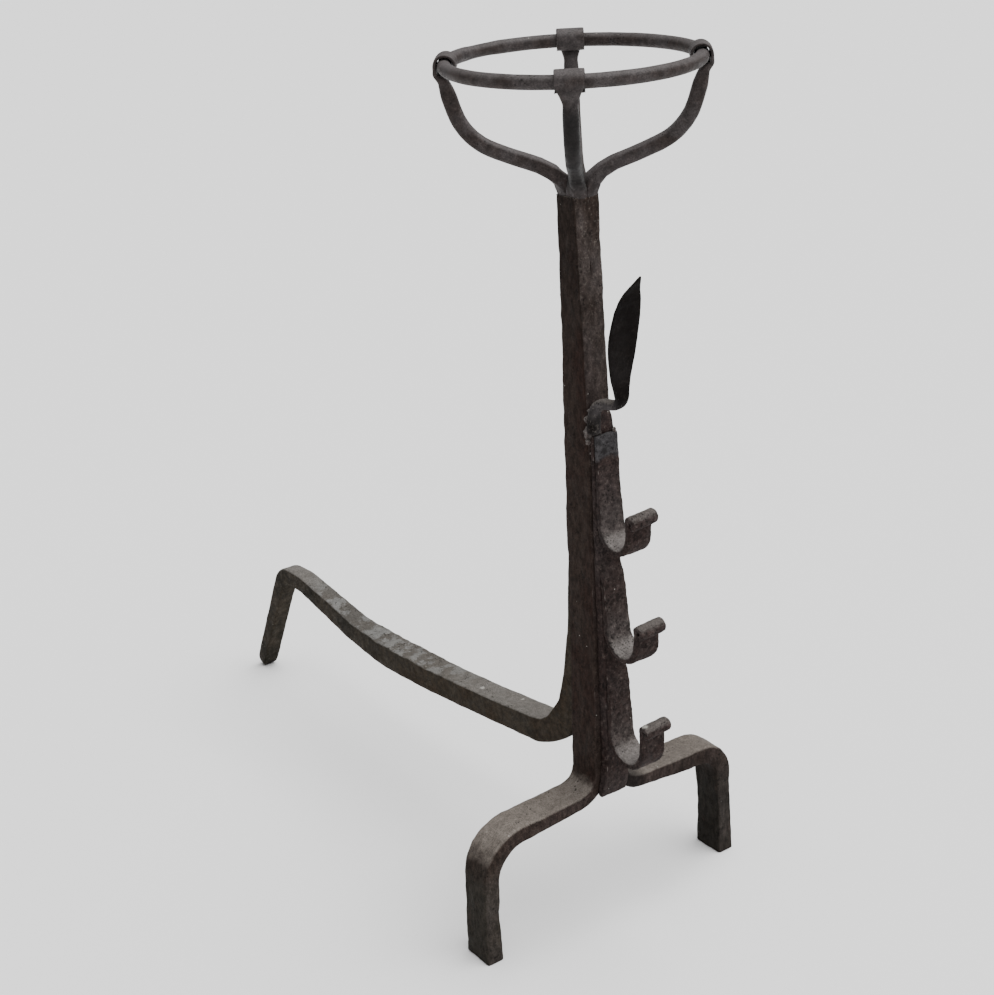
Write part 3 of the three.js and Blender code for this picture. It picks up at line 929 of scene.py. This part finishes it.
            # On the column bars the dark share is painted shade, and the pale front share is partly painted
            # light.
            store_shares(piece, weathered=self.front_pale_and_lit_share, soot=self.shade_share, aged=self.leg_share)
            self.hand_over(piece, COLUMN_IRON, "column_iron", name.replace("column", "upright"))

    @staticmethod
    def shade_share(place: Vector, normal: Vector) -> float:
        """Painted shade under the hooks, where the right foot leaves the column, on its leg and up the left
        side, where faces turned left are darker.
        """
        leftward = smooth_step(0.5, 0.9, -normal.x)
        across = smooth_step(8, 14, place.x) * smooth_step(50, 30, place.x)
        crotch = 0.7 * across * smooth_step(150, 132, place.z)
        leg = 0.4 * smooth_step(90, 130, place.x) * leftward
        foot = 0.22 * smooth_step(40, 60, place.x)
        side = 0.3 * smooth_step(520, 640, place.z) * leftward
        return max(crotch, leg, foot, side)

    @staticmethod
    def front_pale_and_lit_share(place: Vector, normal: Vector) -> float:
        """How rough and pale the iron is, partly painted light on these lit faces: most on the faces
        towards the hearth's front.
        """
        facing = smooth_step(0.35, 0.85, -normal.y)
        return facing * (0.34 + 0.66 * smooth_step(460, 640, place.z))

    @staticmethod
    def leg_share(place: Vector, _normal: Vector) -> float:
        """The greyer skin of the legs, from the shoulders down."""
        return 0.8 * smooth_step(118, 70, place.z)


@dataclass
class OnColumn(SubAssembly):
    """A part that is seated on the column and takes its place from it."""

    column: Column


# ---------------------------------------------------------------- spine and spit hooks
@dataclass(frozen=True)
class HookSize:
    """One spit hook: where its strap starts, its trough's floor and width, and its tip."""

    name: str
    strap_top: float
    floor: float
    throat: float
    tip: float
    sunk: bool = True


@dataclass
class HookRack(OnColumn):
    """The spine on the column's front and its three spit hooks."""

    strap_wide: float = 26.2
    strap_set: float = 1.0
    lip_set: float = -0.1
    strap_top_wide: float = 24.2
    strap_thick: float = 5.0
    strap_tip_thick: float = 3.2
    trough_thick: float = 7.0
    lip_wide: float = 25.6
    roll_wide: float = 28.4
    roll_set: float = 0.3
    roll_tilt: float = math.radians(-3.5)
    lip_thick: float = 5.6
    lip_lean: float = 3.0
    roll_thick: float = 5.2
    roll_radius: float = 3.9
    hooks: tuple[HookSize, ...] = (
        HookSize("hook_top", 485.0, 387.5, 30.3, 425.0, sunk=False),
        HookSize("hook_middle", 366.0, 285.4, 33.2, 323.4),
        HookSize("hook_bottom", 262.0, 179.3, 37.4, 226.6),
    )
    spine: tuple[tuple[float, float, float, float], ...] = (
        (506.0, 1.0, 15.0, 2.4),
        (497.0, 3.2, 21.0, 1.2),
        (485.0, 4.6, 24.6, 0.5),
        (440.0, 4.5, 25.4, 0.7),
        (344.0, 7.0, 25.8, 0.9),
        (296.0, 10.0, 25.8, 0.9),
        (160.0, 10.0, 26.0, 0.6),
        (140.0, 8.4, 28.6, -1.4),
        (128.0, 5.6, 29.6, -2.6),
    )

    def spine_thick_at(self, z: float) -> float:
        """Thickness of the spine at a height.

        Args:
            z: the height.

        Returns:
            The thickness there.
        """
        for (high, thick, _, _), (low, below, _, _) in zip(self.spine, self.spine[1:]):
            if z >= low:
                share = (high - z) / (high - low)
                return thick + (below - thick) * share
        return self.spine[-1][1]

    def seat_at(self, z: float) -> float:
        """Distance forward from the axis to the spine's front face."""
        return self.column.front_at(z) + self.column.gap + self.spine_thick_at(z)

    def make_spine(self) -> Piece:
        """Forges the spine, drawn out thin at its top.

        Returns:
            The spine.
        """
        stations = [
            Station(self.column.front_at(z) + self.column.gap + thick / 2, z, thick, wide, shift=shift)
            for z, thick, wide, shift in self.spine
        ]
        piece = self.forge("spine", stations, -math.pi / 2, edge=1.6, spacing=7.0)
        roughen(piece, {Blow.SWELL: (22.0, 1.1), Blow.DENT: (9.0, 0.7), Blow.PIT: (2.6, 0.4)})
        return piece

    def hook_stations(self, size: HookSize) -> list[Station]:
        """The strap, trough, lip and outward roll of one hook.

        Args:
            size: the hook's sizes.

        Returns:
            Its stations from the strap's tip to the end of the roll.
        """
        bend = (size.throat + (self.trough_thick + self.lip_thick) / 2) / 2
        trough_z = size.floor - self.trough_thick / 2
        bend_top = trough_z + bend + 1
        gap = self.column.gap

        def strap(z: float, thick: float, wide: float) -> Station:
            """A station that lies against the spine."""
            return Station(self.seat_at(z) + gap + thick / 2, z, thick, wide, shift=self.strap_set)

        levels = [z for z, *_ in self.spine if bend_top + 5 < z < size.strap_top - 20]
        if size.sunk:
            sunk = self.seat_at(size.strap_top) - 0.9
            tip = Station(sunk, size.strap_top, 1.2, self.strap_top_wide - 1, shift=self.strap_set)
            heads = [tip, strap(size.strap_top - 15, self.strap_thick - 1, self.strap_top_wide)]
        else:
            heads = [strap(size.strap_top, self.strap_tip_thick, self.strap_top_wide)]
        wall = strap(bend_top, self.trough_thick, self.strap_wide)
        lip = wall.out + 2 * bend
        near = lip + self.lip_lean
        radius = self.roll_radius
        far = near + 2 * radius
        roll_z = size.tip - radius - self.roll_thick / 2
        top, low = roll_z + radius, roll_z - radius
        rolled = ((near, top, self.lip_thick), *(
            (out, up, self.roll_thick) for out, up in ((far, top), (far, low), (near + radius, low))
        ))
        return [
            *heads,
            *(strap(z, self.strap_thick, self.strap_top_wide + 0.4) for z in levels),
            wall,
            Station(wall.out, trough_z, self.trough_thick, self.strap_wide, bend, self.strap_set),
            Station(lip, trough_z, self.trough_thick, self.lip_wide + 0.6, bend, self.lip_set),
            Station(near - 0.6, top - 9, self.lip_thick, self.lip_wide, shift=self.lip_set),
            *(Station(*place, self.roll_wide, radius, self.roll_set) for place in rolled),
        ]

    def make_hook(self, size: HookSize) -> Piece:
        """Forges one hook and marks where spits have rubbed it.

        Args:
            size: the hook's sizes.

        Returns:
            The hook.
        """
        name = size.name.replace("hook", "spit_hook")
        stations = self.hook_stations(size)
        piece = self.forge(name, stations, -math.pi / 2, edge=1.7, spacing=6.0, edge_share=0.38)
        self.tilt_roll(piece, size)
        roughen(piece, {Blow.SWELL: (24.0, 0.7), Blow.DENT: (8.0, 0.8), Blow.PIT: (2.2, 0.65)})
        wall = self.seat_at(size.floor) + self.column.gap + self.trough_thick
        centre = Vector((self.axis - wall - size.throat / 2, size.floor + size.throat / 2))
        chip = Vector((-11.5, centre.x - size.throat / 2 - 9, size.tip - 1))

        def rubbed(place: Vector, normal: Vector) -> float:
            """Brightest on the trough's floor and fading up both walls, and on the roll's top."""
            spoke = Vector((place.y, place.z)) - centre
            inside = 1 - smooth_step(size.throat / 2 + 1.0, size.throat / 2 + 3.0, spoke.length)
            near = smooth_step(wall + 2.5, wall - 1.5, self.axis - place.y)
            on_wall = smooth_step(0.5, 0.9, -normal.y) * near
            rise = place.z - size.floor
            fading = ((0.6, 10, 0), (0.16, 45, 6), (0.06, 85, 30))
            height = sum(share * smooth_step(end, full, rise) for share, end, full in fading)
            forward = smooth_step(-centre.x + 4, -centre.x + 12, -place.y)
            roll = smooth_step(size.tip - 6, size.tip, place.z) * forward
            return min(1.0, max(max(inside, on_wall) * height, roll * 0.14))

        def welded(place: Vector, _normal: Vector) -> float:
            """The bluish weld on the top strap's upper end."""
            ragged = 3 * noise.noise(place / 6)
            return 0.0 if size.sunk else smooth_step(461 + ragged, 466 + ragged, place.z) * 0.85

        def soot(place: Vector, _normal: Vector) -> float:
            """A dark round spot in the top strap's weld."""
            hollow = Vector((place.x + 3, place.z - 470.5))
            return 0.0 if size.sunk else smooth_step(4.5, 2.0, hollow.length) * 0.75

        def lime(place: Vector, _normal: Vector) -> float:
            """The bright chip on the bottom hook's roll."""
            return smooth_step(3.4, 1.8, (place - chip).length) * (size.name == "hook_bottom")

        store_shares(piece, rubbed=rubbed, welded=welded, soot=soot, lime=lime)
        return piece

    def tilt_roll(self, piece: Piece, size: HookSize) -> None:
        """Tilts the roll a little, its right end up.

        Args:
            piece: the hook, not yet roughened.
            size: the hook's sizes.
        """
        low = size.tip - 2 * self.roll_radius - self.roll_thick
        front = self.axis - self.seat_at(size.floor) - self.trough_thick - size.throat
        with edit_mode():
            pick(piece, lambda v: v.co.z > low * MM and v.co.y < (front + 2) * MM)
            turn_picked(self.roll_tilt, "Y", (0, front * MM, low * MM), **SOFT_REACH)

    def build(self) -> None:
        """Forges, dresses and hands over the spine and the hooks."""
        self.hand_over(self.make_spine(), FRONT_IRON, "column_iron", "hook_spine")
        for size in self.hooks:
            self.hand_over(self.make_hook(size), FRONT_IRON, "hook_iron", size.name)


# ---------------------------------------------------------------- log bar
@dataclass
class LogBar(OnColumn):
    """The bar that carries the logs: a leaf on the column's back, a crank, a sag and a rear foot."""

    wide: float = 27.4
    leaf: tuple[tuple[float, float, float], ...] = (
        (395.0, 1.4, 19.4),
        (324.0, 3.2, 27.4),
        (284.0, 6.2, 27.4),
        (239.0, 15.0, 27.4),
        (215.0, 21.0, 27.4),
        (200.0, 25.0, 27.4),
    )
    crank: tuple[tuple[float, float, float], ...] = (
        (20.0, 182.3, 32.4),
        (35.0, 168.3, 25.8),
        (50.0, 159.5, 24.0),
    )
    sag: tuple[Station, ...] = (
        Station(82, 156.5, 21.2, 27.4),
        Station(150, 148.3, 19.8, 27.8),
        Station(210, 141.8, 20.0, 27.2),
        Station(270, 136.0, 20.6, 28.2),
        Station(330, 132.2, 21.4, 28.2, shift=-0.3),
        Station(362, 130.6, 20.8, 28.0, bend=260, shift=-0.6),
        Station(424, 132.4, 18.0, 23.4, bend=120, shift=-0.9),
        Station(480, 142.0, 16.8, 20.8, shift=-1.0),
        Station(535, 152.6, 14.6, 19.8, shift=-0.8),
        Station(577.5, 150.8, 18.6, 19.6, bend=29),
        Station(626.5, 58.0, 16.6, 20.0, shift=0.5),
        Station(654.0, 6.5, 15.6, 18.8, shift=0.4),
        Station(657.0, 0.0, 8.6, 11.0, level=True),
    )
    fullness: float = 4.3
    crown: float = 0.7
    rear_bend: float = 560.0
    lime_spots: tuple[tuple[float, float, float], ...] = ((-3.0, 183.0, 3.2), (6.0, 126.0, 2.2))

    def stations(self) -> list[Station]:
        """The whole bar, from the leaf's tip on the column to the rear foot.

        Returns:
            The bar's stations.
        """
        against = [
            Station(self.column.rear_at(z) + self.column.gap + thick / 2, z, thick, wide)
            for z, thick, wide in self.leaf
        ]
        rear = self.column.rear_at(self.column.taper_z) + self.column.gap
        cranked = [Station(rear + back, z, thick, self.wide) for back, z, thick in self.crank]
        return [*against, *cranked, *(self.filled(station) for station in self.sag)]

    def filled(self, station: Station) -> Station:
        """A station of the sag made fuller: most below, a little on top and at its sides.

        Args:
            station: the station as drawn.

        Returns:
            The fuller one, or the same beyond the rear bend.
        """
        if station.out > self.rear_bend:
            return station
        more = self.fullness + self.crown
        drop = self.fullness - self.crown
        return replace(station, up=station.up - drop / 2, thick=station.thick + more, wide=station.wide + 1)

    def build(self) -> None:
        """Forges, dresses and hands over the bar."""
        piece = self.forge("log_rest_bar", self.stations(), math.pi / 2, columns=3, edge=2.1)
        self.group_hammered(piece)
        marks = {Blow.SWELL: (40.0, 1.2), Blow.DENT: (15.0, 2.0), Blow.PIT: (3.0, 0.3)}
        roughen(piece, marks, {Blow.DENT: "hammered"})
        stand_flat(piece)
        store_shares(piece, weathered=self.rear_share, flaked=self.flake_share, lime=self.lime_share)
        self.hand_over(piece, BAR_IRON, "bar_iron", "log_bar")

    def rear_share(self, place: Vector, _normal: Vector) -> float:
        """Greyer towards the rear foot."""
        return smooth_step(self.axis + 280, self.axis + 420, place.y) * 0.9

    def flake_share(self, place: Vector, normal: Vector) -> float:
        """Scale flaking off the top, from the middle to the rear bend."""
        back = place.y - self.axis
        return smooth_step(170, 280, back) * smooth_step(540, 470, back) * smooth_step(0.55, 0.9, normal.z)

    def lime_share(self, place: Vector, normal: Vector) -> float:
        """Two pale drops on the top."""
        near = [
            smooth_step(size, size * 0.5, Vector((place.x - x, place.y - self.axis - back)).length)
            for x, back, size in self.lime_spots
        ]
        return max(near) * smooth_step(0.3, 0.6, normal.z)

    def group_hammered(self, piece: Piece) -> None:
        """Groups the skin by how hard it was hammered: most on top, from the middle to the rear.

        Args:
            piece: the bar, not yet roughened.
        """
        group = piece.vertex_groups.new(name="hammered")
        for vertex in piece.data.vertices:
            back = vertex.co.y / MM - self.axis
            stretch = smooth_step(190, 300, back) * smooth_step(520, 440, back)
            top = smooth_step(0.5, 0.9, vertex.normal.z)
            group.add([vertex.index], 0.3 + 0.7 * stretch * top, "REPLACE")


# ---------------------------------------------------------------- basket
@dataclass
class Basket(OnColumn):
    """Four arms that grow from the column's head, and the loose ring in their rolled eyes."""

    rise: float = 110.0
    azimuths: tuple[tuple[str, float], ...] = (
        ("rear", 52.8),
        ("left", 141.3),
        ("front", 230.2),
        ("right", 321.3),
    )
    ring_radius: float = 104.0
    ring_rod: float = 12.2
    ring_tilt: float = math.radians(0.2)
    eye_play: float = 1.0
    eye_lift: float = 0.45
    eye_set: float = 0.8
    eye_thick: float = 2.5
    eye_wide: float = 23.6
    rod: float = 12.8
    root_rod: float = 13.2
    lap: float = math.radians(100)
    lap_wide: float = math.radians(9)

    def arm_stations(self, azimuth: float) -> list[Station]:
        """One arm, from its quarter of the head to the rolled eye.

        Args:
            azimuth: the arm's heading in degrees.

        Returns:
            The arm's stations.
        """
        head = self.column.head_z
        quarter = self.column.head_side / 2
        reach = quarter / math.sqrt(2)
        corner = math.radians(round((azimuth - 45) / 90) * 90 + 45 - azimuth)
        twist = math.degrees(corner) + 45
        root_out, root_shift = reach * math.cos(corner), reach * math.sin(corner)
        ring_z = head + self.rise
        bend = self.ring_rod / 2 + self.eye_play + self.eye_thick / 2
        eye = self.ring_radius - self.eye_set
        eye_z = ring_z + self.eye_lift
        rod, root, thin, wide = self.rod, self.root_rod, self.eye_thick, self.eye_wide
        full = quarter + self.column.fullness[1]
        return [
            Station(root_out, head - 3, full - 1, full - 1, shift=root_shift, twist=twist),
            Station(root_out, head + 0.4, full, full, shift=root_shift, twist=twist),
            Station(root_out + 0.7, head + 5, full + 0.5, full + 0.3, shift=root_shift, twist=twist),
            Station(13.4, head + 12.4, root, root, bend=7, shift=root_shift * 0.4, twist=twist * 0.5),
            Station(20.5, head + 19.4, rod + 0.3, rod + 0.3, bend=6),
            Station(31.0, head + 25.3, rod, rod, bend=20),
            Station(53.4, head + 33.6, rod, rod),
            Station(self.ring_radius - 12.8, head + 49.3, rod, rod, bend=52),
            Station(self.ring_radius - 1.8, ring_z - 24, rod, rod),
            Station(eye + 1.2, eye_z - bend - 8.5, 10.4, 11.6),
            Station(eye + 3.4, eye_z - bend - 3.4, 7.4, 15.0),
            Station(eye + bend, eye_z - bend + 1, thin + 1.6, wide - 5, bend=4),
            Station(eye + bend, eye_z - bend + 5, thin + 0.6, wide - 0.6),
            Station(eye + bend, eye_z + bend, thin, wide, bend=bend),
            Station(eye - bend, eye_z + bend, thin, wide, bend=bend),
            Station(eye - bend, eye_z - bend, thin, wide, bend=bend),
            Station(eye - 2, eye_z - bend, thin, wide, bend=bend),
        ]

    def make_arm(self, name: str, azimuth: float) -> Piece:
        """Forges one arm.

        Args:
            name: the piece's name.
            azimuth: the arm's heading in degrees.

        Returns:
            The arm.
        """
        def soften(middle: Vector, lengthwise: bool, section: Section) -> float:
            """At the root only the outer corner is worn, as the column's; further up all four are."""
            outer = lengthwise and middle.x > section.thick / 3
            at_root = 0.5 if outer else 0.06
            return at_root + (1 - at_root) * smooth_step(8, 26, section.along)

        piece = self.forge(
            name, self.arm_stations(azimuth), math.radians(azimuth), rows=2, edge=4.2, spacing=5.0,
            arc_step=math.radians(12), edge_share=0.36, soften=soften,
        )
        roughen(piece, {Blow.SWELL: (26.0, 0.5), Blow.PIT: (3.0, 0.16)})
        return piece

    def root_share(self, place: Vector, _normal: Vector) -> float:
        """The column's darker tone, which fades up the arms."""
        return smooth_step(self.column.head_z + 26, self.column.head_z + 4, place.z)

    def front_arm_dark_share(self, place: Vector, _normal: Vector) -> float:
        """Darker on the front arm, from its root to its bend."""
        rise = place.z - self.column.head_z
        return 0.85 * smooth_step(2, 16, rise) * smooth_step(98, 82, rise)

    def make_ring(self) -> Piece:
        """Forges the ring: a rod bent round, with flats left by the hammer and a lapped weld.

        Returns:
            The ring.
        """
        start_clean()
        bpy.ops.mesh.primitive_torus_add(
            major_segments=120, minor_segments=14, major_radius=self.ring_radius * MM,
            minor_radius=self.ring_rod / 2 * MM, location=(0, 0, 0),
        )
        ring = named(bpy.context.object, "loose_ring")
        with edit_mode():
            pick(ring, lambda v: abs(wrapped(math.atan2(v.co.y, v.co.x) - self.lap)) < self.lap_wide)
            bpy.ops.transform.resize(value=(1, 1, 0.94), center_override=(0, 0, 0))
            pick(ring, lambda v: v.co.z > self.ring_rod * 0.42 * MM)
            bpy.ops.transform.resize(value=(1, 1, 0.965), center_override=(0, 0, 0))
            bpy.ops.mesh.select_all(action="SELECT")
            turn_picked(self.ring_tilt, "Y", (0, 0, 0))
            bpy.ops.transform.translate(value=(0, self.axis_y, (self.column.head_z + self.rise) * MM))
        refine(ring, 2)
        roughen(ring, {Blow.SWELL: (28.0, 0.35), Blow.PIT: (2.6, 0.12)})
        return ring

    def build(self) -> None:
        """Forges, dresses and hands over the arms and the ring."""
        for side, azimuth in self.azimuths:
            arm = self.make_arm(f"{side}_basket_arm", azimuth)
            front_darkened = {"soot": self.front_arm_dark_share} if side == "front" else {}
            store_shares(arm, weathered=self.root_share, **front_darkened)
            self.hand_over(arm, RING_IRON, "basket_iron", f"basket_arm_{side}")
        self.hand_over(self.make_ring(), RING_IRON, "ring_iron", "basket_ring", body="ring")


# ---------------------------------------------------------------- leaf finial
@dataclass
class LeafFinial(OnColumn):
    """A round stem off the column's front, bent up into a flat leaf."""

    stem_rod: float = 9.4
    foot_z: float = 487.5
    run_z: float = 515.3
    stem_set: float = -9.2
    blade_out: float = 32.2
    sway: float = 0.3
    heel: float = 1.3
    fold: float = 1.6
    blade: tuple[tuple[float, float, float, float], ...] = (
        (16.5, 16.2, 0.0, 5.6),
        (25.0, 21.2, 0.0, 4.2),
        (34.0, 25.2, 0.1, 3.2),
        (43.0, 28.2, 0.3, 2.8),
        (51.6, 30.0, 0.7, 2.6),
        (60.0, 30.8, 1.9, 2.6),
        (69.4, 30.8, 3.6, 2.6),
        (78.0, 29.8, 5.4, 2.5),
        (87.2, 27.2, 7.4, 2.4),
        (96.0, 22.4, 10.0, 2.2),
        (105.0, 13.7, 13.7, 2.0),
        (111.5, 7.4, 17.0, 1.8),
        (116.6, 1.6, 20.0, 1.4),
    )

    def stations(self) -> list[Station]:
        """The stem, the elbow and the blade.

        Returns:
            The stations from the stem's foot to the leaf's tip.
        """
        stem = self.column.front_at(self.foot_z) + self.column.gap + self.stem_rod / 2
        blade = self.column.front_at(self.column.taper_z) + self.blade_out
        rod, run = self.stem_rod, self.run_z
        return [
            Station(stem - 1, self.foot_z - 2, rod + 1.6, rod + 2.4, shift=self.stem_set - 1.2, level=True),
            Station(stem, run - 0.4, rod + 0.4, rod + 0.4, bend=12.5, shift=self.stem_set + 1.0),
            Station(blade + 0.4, run + 0.6, 8.8, 10.6, bend=10.5, shift=-self.heel / 2),
            *(
                Station(blade + lean, run + rise, thick, wide, shift=lean * self.sway - self.heel_at(rise))
                for rise, wide, lean, thick in self.blade
            ),
        ]

    def heel_at(self, rise: float) -> float:
        """How far the blade's lower end stands to the left."""
        return self.heel * (1 - smooth_step(20, 50, rise))

    def make_leaf(self) -> Piece:
        """Forges the leaf and folds it a little along its middle.

        Returns:
            The leaf with its stem.
        """
        piece = self.forge(
            "leaf_and_stem", self.stations(), -math.pi / 2, rows=2, edge=4.0, spacing=4.0, levels=3,
        )
        low, high = self.run_z + 30, self.run_z + 100
        with edit_mode():
            pick(piece, lambda v: abs(v.co.x) < 2.5 * MM and low * MM < v.co.z < high * MM)
            bpy.ops.transform.translate(value=(0, self.fold * MM, 0), **SOFT_REACH)
        roughen(piece, {Blow.SWELL: (24.0, 0.5), Blow.DENT: (7.0, 0.25), Blow.PIT: (2.2, 0.12)})
        return piece

    def stem_pale_and_sheen_share(self, place: Vector, _normal: Vector) -> float:
        """The stem is paler than the blade, partly a painted sheen."""
        bend = self.axis - self.column.front_at(self.column.taper_z) - self.blade_out
        return smooth_step(bend - 4, bend + 16, place.y)

    def build(self) -> None:
        """Forges, dresses and hands over the leaf."""
        leaf = self.make_leaf()
        store_shares(leaf, weathered=self.stem_pale_and_sheen_share)
        self.hand_over(leaf, LEAF_IRON, "leaf_iron", "leaf_finial")


# ---------------------------------------------------------------- welds
@dataclass
class WeldBeads(OnColumn):
    """The lumps of weld round the stem's foot, and the drops that flew from them."""

    lumps: tuple[tuple[float, float, float, float], ...] = (
        (-12.0, 487.0, 4.8, 3.8),
        (-11.6, 499.0, 3.4, 2.4),
        (-8.0, 485.0, 5.0, 4.2),
        (-3.6, 486.5, 4.0, 4.4),
        (0.6, 487.5, 3.2, 4.0),
        (-12.4, 478.5, 2.6, 1.6),
        (9.6, 486.0, 2.3, 9.0),
    )
    drops: int = 26
    spread: float = 16.0

    def lump(self, x: float, z: float, size: float, proud: float) -> Piece:
        """One drop of weld on the column's front.

        Args:
            x: its place across the column.
            z: its height.
            size: its radius.
            proud: how far it stands off the column's front.

        Returns:
            The drop.
        """
        start_clean()
        y = self.axis - self.column.front_at(z) - proud + size * 0.8
        bpy.ops.mesh.primitive_ico_sphere_add(subdivisions=3, radius=size * MM, location=(0, 0, 0))
        with edit_mode(everything=True):
            bpy.ops.transform.resize(value=(1.0, 0.9, 1.12))
            bpy.ops.transform.translate(value=(x * MM, y * MM, z * MM))
        return bpy.context.object

    def build(self) -> None:
        """Lays the lumps and the drops, and hands them over as one piece."""
        parts = [self.lump(*lump) for lump in self.lumps]
        for k in range(self.drops):
            seeds = ((k * 3.7, 0.5, 0), (0.5, k * 2.9, 4), (k, 7, k))
            across, up, large = (noise.noise(seed) for seed in seeds)
            size = 0.75 + 1.1 * abs(large)
            x = max(-11.5, min(-8.6 + across * 9, 10.0))
            parts.append(self.lump(x, 494 + up * self.spread * 3, size, size * 0.7))
        take(*parts)
        bpy.ops.object.join()
        beads = named(parts[0], "weld_beads")
        roughen(beads, {Blow.SWELL: (4.2, 3.4), Blow.PIT: (1.5, 0.8)})
        # The rubbed share of the beads is a painted highlight.
        store_shares(beads, rubbed=self.painted_highlight_share)
        self.hand_over(beads, FRONT_IRON, "column_iron")

    @staticmethod
    def painted_highlight_share(_place: Vector, normal: Vector) -> float:
        """Painted highlight: brighter on top and towards the left."""
        return 0.45 * smooth_step(0.0, 0.9, normal.z - 0.4 * normal.x)


# ---------------------------------------------------------------- camera, light and floor
@dataclass(frozen=True)
class View:
    """The photograph's camera, worked out from the soles, the column and the round ring."""

    azimuth: float = math.radians(-34.98)
    elevation: float = math.radians(22.30)
    roll: float = math.radians(-3.31)
    place: Colour = (-936.1, -1196.2, 1044.9)
    lens: float = 67.19
    sensor: float = 36.0

    def build(self, axis_y: float) -> None:
        """Sets the camera up.

        Args:
            axis_y: the column's place along Y, in metres.
        """
        ahead = Vector((
            math.sin(-self.azimuth) * math.cos(self.elevation),
            math.cos(self.azimuth) * math.cos(self.elevation),
            -math.sin(self.elevation),
        ))
        right = ahead.cross(Vector((0, 0, 1))).normalized()
        above = right.cross(ahead)
        tilt = Matrix.Rotation(-self.roll, 3, ahead)
        right = tilt @ right
        above = tilt @ above
        camera = bpy.data.objects.new("camera", bpy.data.cameras.new("camera"))
        bpy.context.scene.collection.objects.link(camera)
        camera.data.lens = self.lens
        camera.data.sensor_width = self.sensor
        camera.data.clip_start = 0.05
        turn = Matrix((right, above, -ahead)).transposed().to_4x4()
        place = Vector(self.place) * MM + Vector((0, axis_y, 0))
        camera.matrix_world = Matrix.Translation(place) @ turn
        bpy.context.scene.camera = camera


@dataclass(frozen=True)
class Studio:
    """A pale floor and soft, even light from above, stronger from the right."""

    floor_side: float = 60.0
    floor_tone: Colour = (0.88, 0.88, 0.88)
    floor_roughness: float = 0.9
    sky: float = 0.45
    sun: float = 5.0
    sun_from: Colour = (0.5, -0.6, 1.9)
    sun_spread: float = math.radians(70)

    def build(self) -> None:
        """Lays the floor and hangs the lights."""
        start_clean()
        bpy.ops.mesh.primitive_plane_add(size=self.floor_side, location=(0, 0, 0))
        floor = named(bpy.context.object, "floor")
        bench = NodeBench("studio floor", self.floor_tone)
        bench.feed(bench.shader, {"Base Color": (*self.floor_tone, 1.0), "Roughness": self.floor_roughness})
        floor.data.materials.append(bench.material)
        world = bpy.data.worlds.new("studio")
        world.use_nodes = True
        back = world.node_tree.nodes["Background"]
        back.inputs["Color"].default_value = (1.0, 1.0, 1.0, 1.0)
        back.inputs["Strength"].default_value = self.sky
        bpy.context.scene.world = world
        data = bpy.data.lights.new("key", "SUN")
        data.energy = self.sun
        data.angle = self.sun_spread
        lamp = bpy.data.objects.new("key", data)
        bpy.context.scene.collection.objects.link(lamp)
        lamp.rotation_mode = "QUATERNION"
        lamp.rotation_quaternion = Vector(self.sun_from).to_track_quat("Z", "Y")


def main() -> None:
    """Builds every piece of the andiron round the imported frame."""
    logging.basicConfig(level=logging.INFO, format="%(message)s")
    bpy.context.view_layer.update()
    low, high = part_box("basket_ring")
    axis_y = (low[1] + high[1]) / 2
    View().build(axis_y)
    Studio().build()
    column = Column(axis_y)
    column.build()
    for part in (HookRack, LogBar, Basket, LeafFinial, WeldBeads):
        part(axis_y, column).build()


if __name__ == "__main__":
    main()
